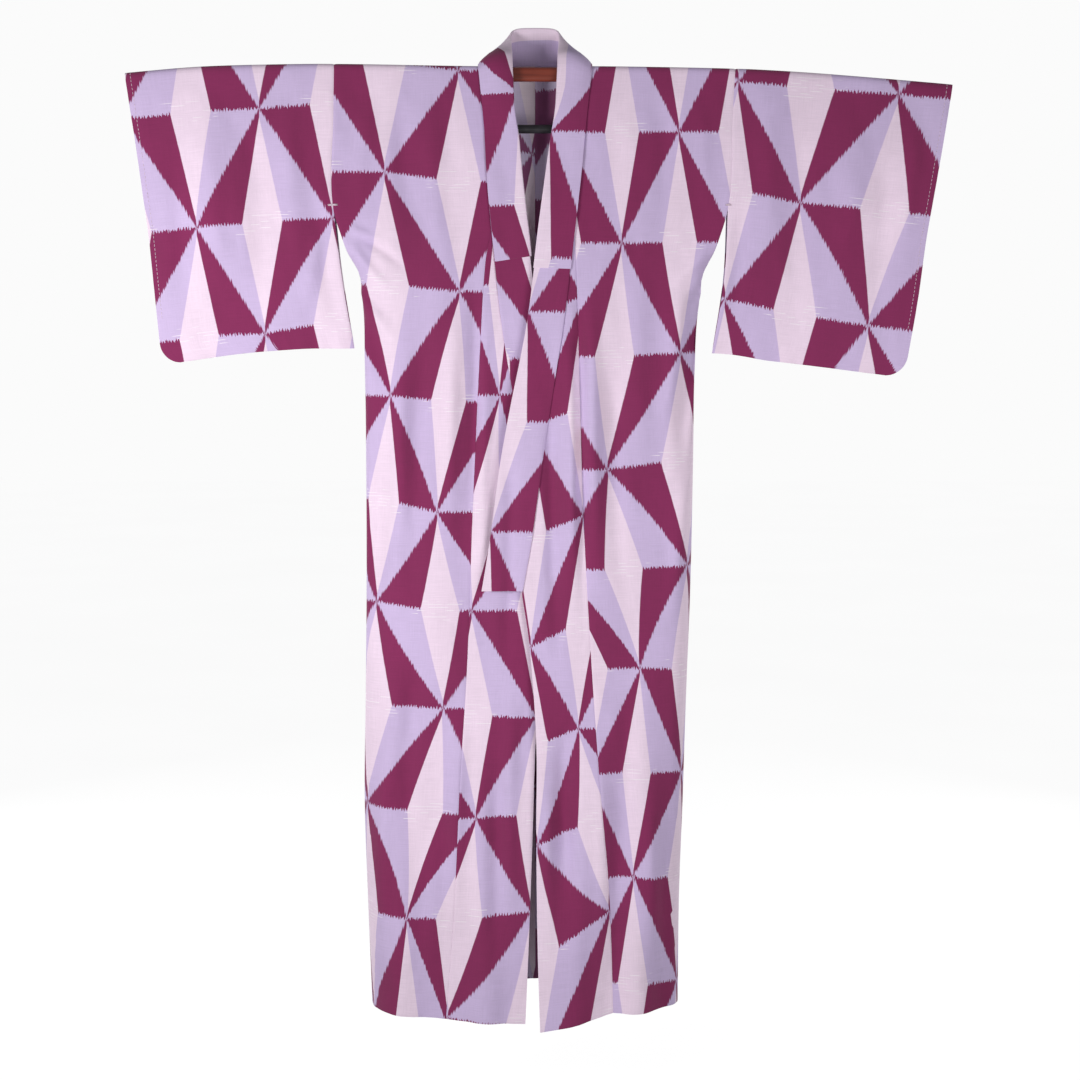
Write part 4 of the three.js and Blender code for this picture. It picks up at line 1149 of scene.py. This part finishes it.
def over_collar():
    count = 13
    columns = np.linspace(0, 1, count)
    grid, along, width = band_grid(COVER_LOWEST, columns)
    grid = collar_relief(grid, along)
    out = normals(grid)
    clear = BAND / 2 + COVER_GAP + COVER / 2
    front_face, behind = grid + out * clear, grid - out * clear
    tip = grid[:, -1] - grid[:, -2]
    tip /= np.linalg.norm(tip, axis=-1, keepdims=True)
    turn = []
    for angle in np.radians([60, 30, 0, -30, -60]):
        turn.append(grid[:, -1] + tip * clear * math.cos(angle) + out[:, -1] * clear * math.sin(angle))
    whole = np.concatenate([front_face, np.stack(turn, 1), behind[:, ::-1]], 1)
    steps = np.linalg.norm(np.diff(whole, axis=1), axis=-1)
    across = running(steps)
    free_at = across[:, count + 2:count + 3]
    from_free = free_at - across
    s = np.repeat((COVER_LOWEST - along)[:, None], whole.shape[1], 1)
    pattern = band_pattern(COVER_PATTERN, s, np.abs(from_free), along[-1] - 2 * COVER_LOWEST)
    inward = (np.abs(from_free) / width[:, None]).clip(0, 1)
    for side, sign in SIDES.items():
        sewn, free = COVER_ENDS[side]
        depth = (sign * (along[-1] / 2 - along) - along[-1] / 2 + COVER_LOWEST)[:, None]
        eased = smooth((depth - COVER_ENDS_FROM) / (COVER_LOWEST - COVER_ENDS_FROM))
        whole[..., 2] -= lerp(free, sewn, inward) * eased
    piece = cloth_mesh("over_collar_cloth", whole, pattern, (across, s), COVER)
    carry(piece, "over_collar")


# ---------------------------------------------------------------- hanger, stage, lights and camera
def hanger():
    for node, material in (("hanger_bar", wood()), ("obi_bar", black_lacquer())):
        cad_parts[node].data.materials[0] = material
    links = black_lacquer()
    for side in SIDES:
        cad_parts["hanger_link_" + side].data.materials[0] = links


def stage():
    lowest = cad_box[0].z
    mesh = bpy.data.meshes.new("floor")
    half, drop = 14.0, 0.16
    corners = [(-half, -half), (half, -half), (half, half), (-half, half)]
    mesh.from_pydata([(x, y, lowest - drop) for x, y in corners], [], [(0, 1, 2, 3)])
    floor = placed("floor", mesh)
    g = Graph("pale floor")
    place = g.own_place()
    tone = g.ramp(g.noise(place, 1.5, 3.0), 0.3, 0.7, 0.915, 0.925)
    mesh.materials.append(g.surface({
        "Base Color": (0.1, 0.1, 0.1, 1.0),
        "Roughness": 0.9,
        "Emission Color": g.grey(tone),
        "Emission Strength": 1.0,
    }))
    # The floor glows for the camera alone, so that it is evenly pale and doesn't light the robe from below.
    floor.visible_diffuse = floor.visible_glossy = False


def soft_box(name, place, aim, across, watts):
    """A square studio lamp, near enough that its light falls off across the robe."""
    data = bpy.data.lights.new(name, "AREA")
    data.energy, data.size = watts, across
    lamp = placed(name, data)
    lamp.location = place
    lamp.rotation_euler = (Vector(place) - Vector(aim)).to_track_quat("Z", "Y").to_euler()
    lamp.visible_camera = False


def lights():
    soft_box("key", (-1.38, -1.2, -0.62), (0.0, 0.0, -0.62), 0.5, 21.5)
    soft_box("fill", (1.0, -1.45, -0.78), (0.0, 0.0, -0.7), 0.9, 12.5)
    soft_box("rear left", (1.9, 1.9, -0.5), (0.0, 0.0, -0.6), 1.2, 24.0)
    soft_box("rear right", (-1.9, 1.9, -0.5), (0.0, 0.0, -0.6), 1.2, 24.0)
    world = bpy.data.worlds.new("studio")
    world.use_nodes = True
    nodes, links = world.node_tree.nodes, world.node_tree.links
    nodes.clear()
    seen = nodes.new("ShaderNodeBackground")
    seen.inputs[0].default_value = (1.0, 1.0, 1.0, 1.0)
    seen.inputs[1].default_value = 0.965
    lighting = nodes.new("ShaderNodeBackground")
    lighting.inputs[0].default_value = (0.97, 0.98, 1.0, 1.0)
    lighting.inputs[1].default_value = 0.25
    path, mix = nodes.new("ShaderNodeLightPath"), nodes.new("ShaderNodeMixShader")
    out = nodes.new("ShaderNodeOutputWorld")
    links.new(path.outputs["Is Camera Ray"], mix.inputs[0])
    links.new(lighting.outputs[0], mix.inputs[1])
    links.new(seen.outputs[0], mix.inputs[2])
    links.new(mix.outputs[0], out.inputs[0])
    bpy.context.scene.world = world
    bpy.context.scene.view_settings.view_transform = "Standard"


def camera():
    data = bpy.data.cameras.new("camera")
    data.sensor_width = 36
    data.lens = 67.5
    data.dof.use_dof = False
    seat = bpy.data.objects.new("camera", data)
    seat.location = (0.008, -3.3, -0.402)
    seat.rotation_euler = (math.radians(84), 0, 0)
    bpy.context.scene.collection.objects.link(seat)
    bpy.context.scene.camera = seat


camera()
lights()
stage()
hanger()
collar()
over_collar()
for side in SIDES:
    front(side)
    overlap(side)
    back(side)
    for towards in (-1, 1):
        sleeve(side, towards)
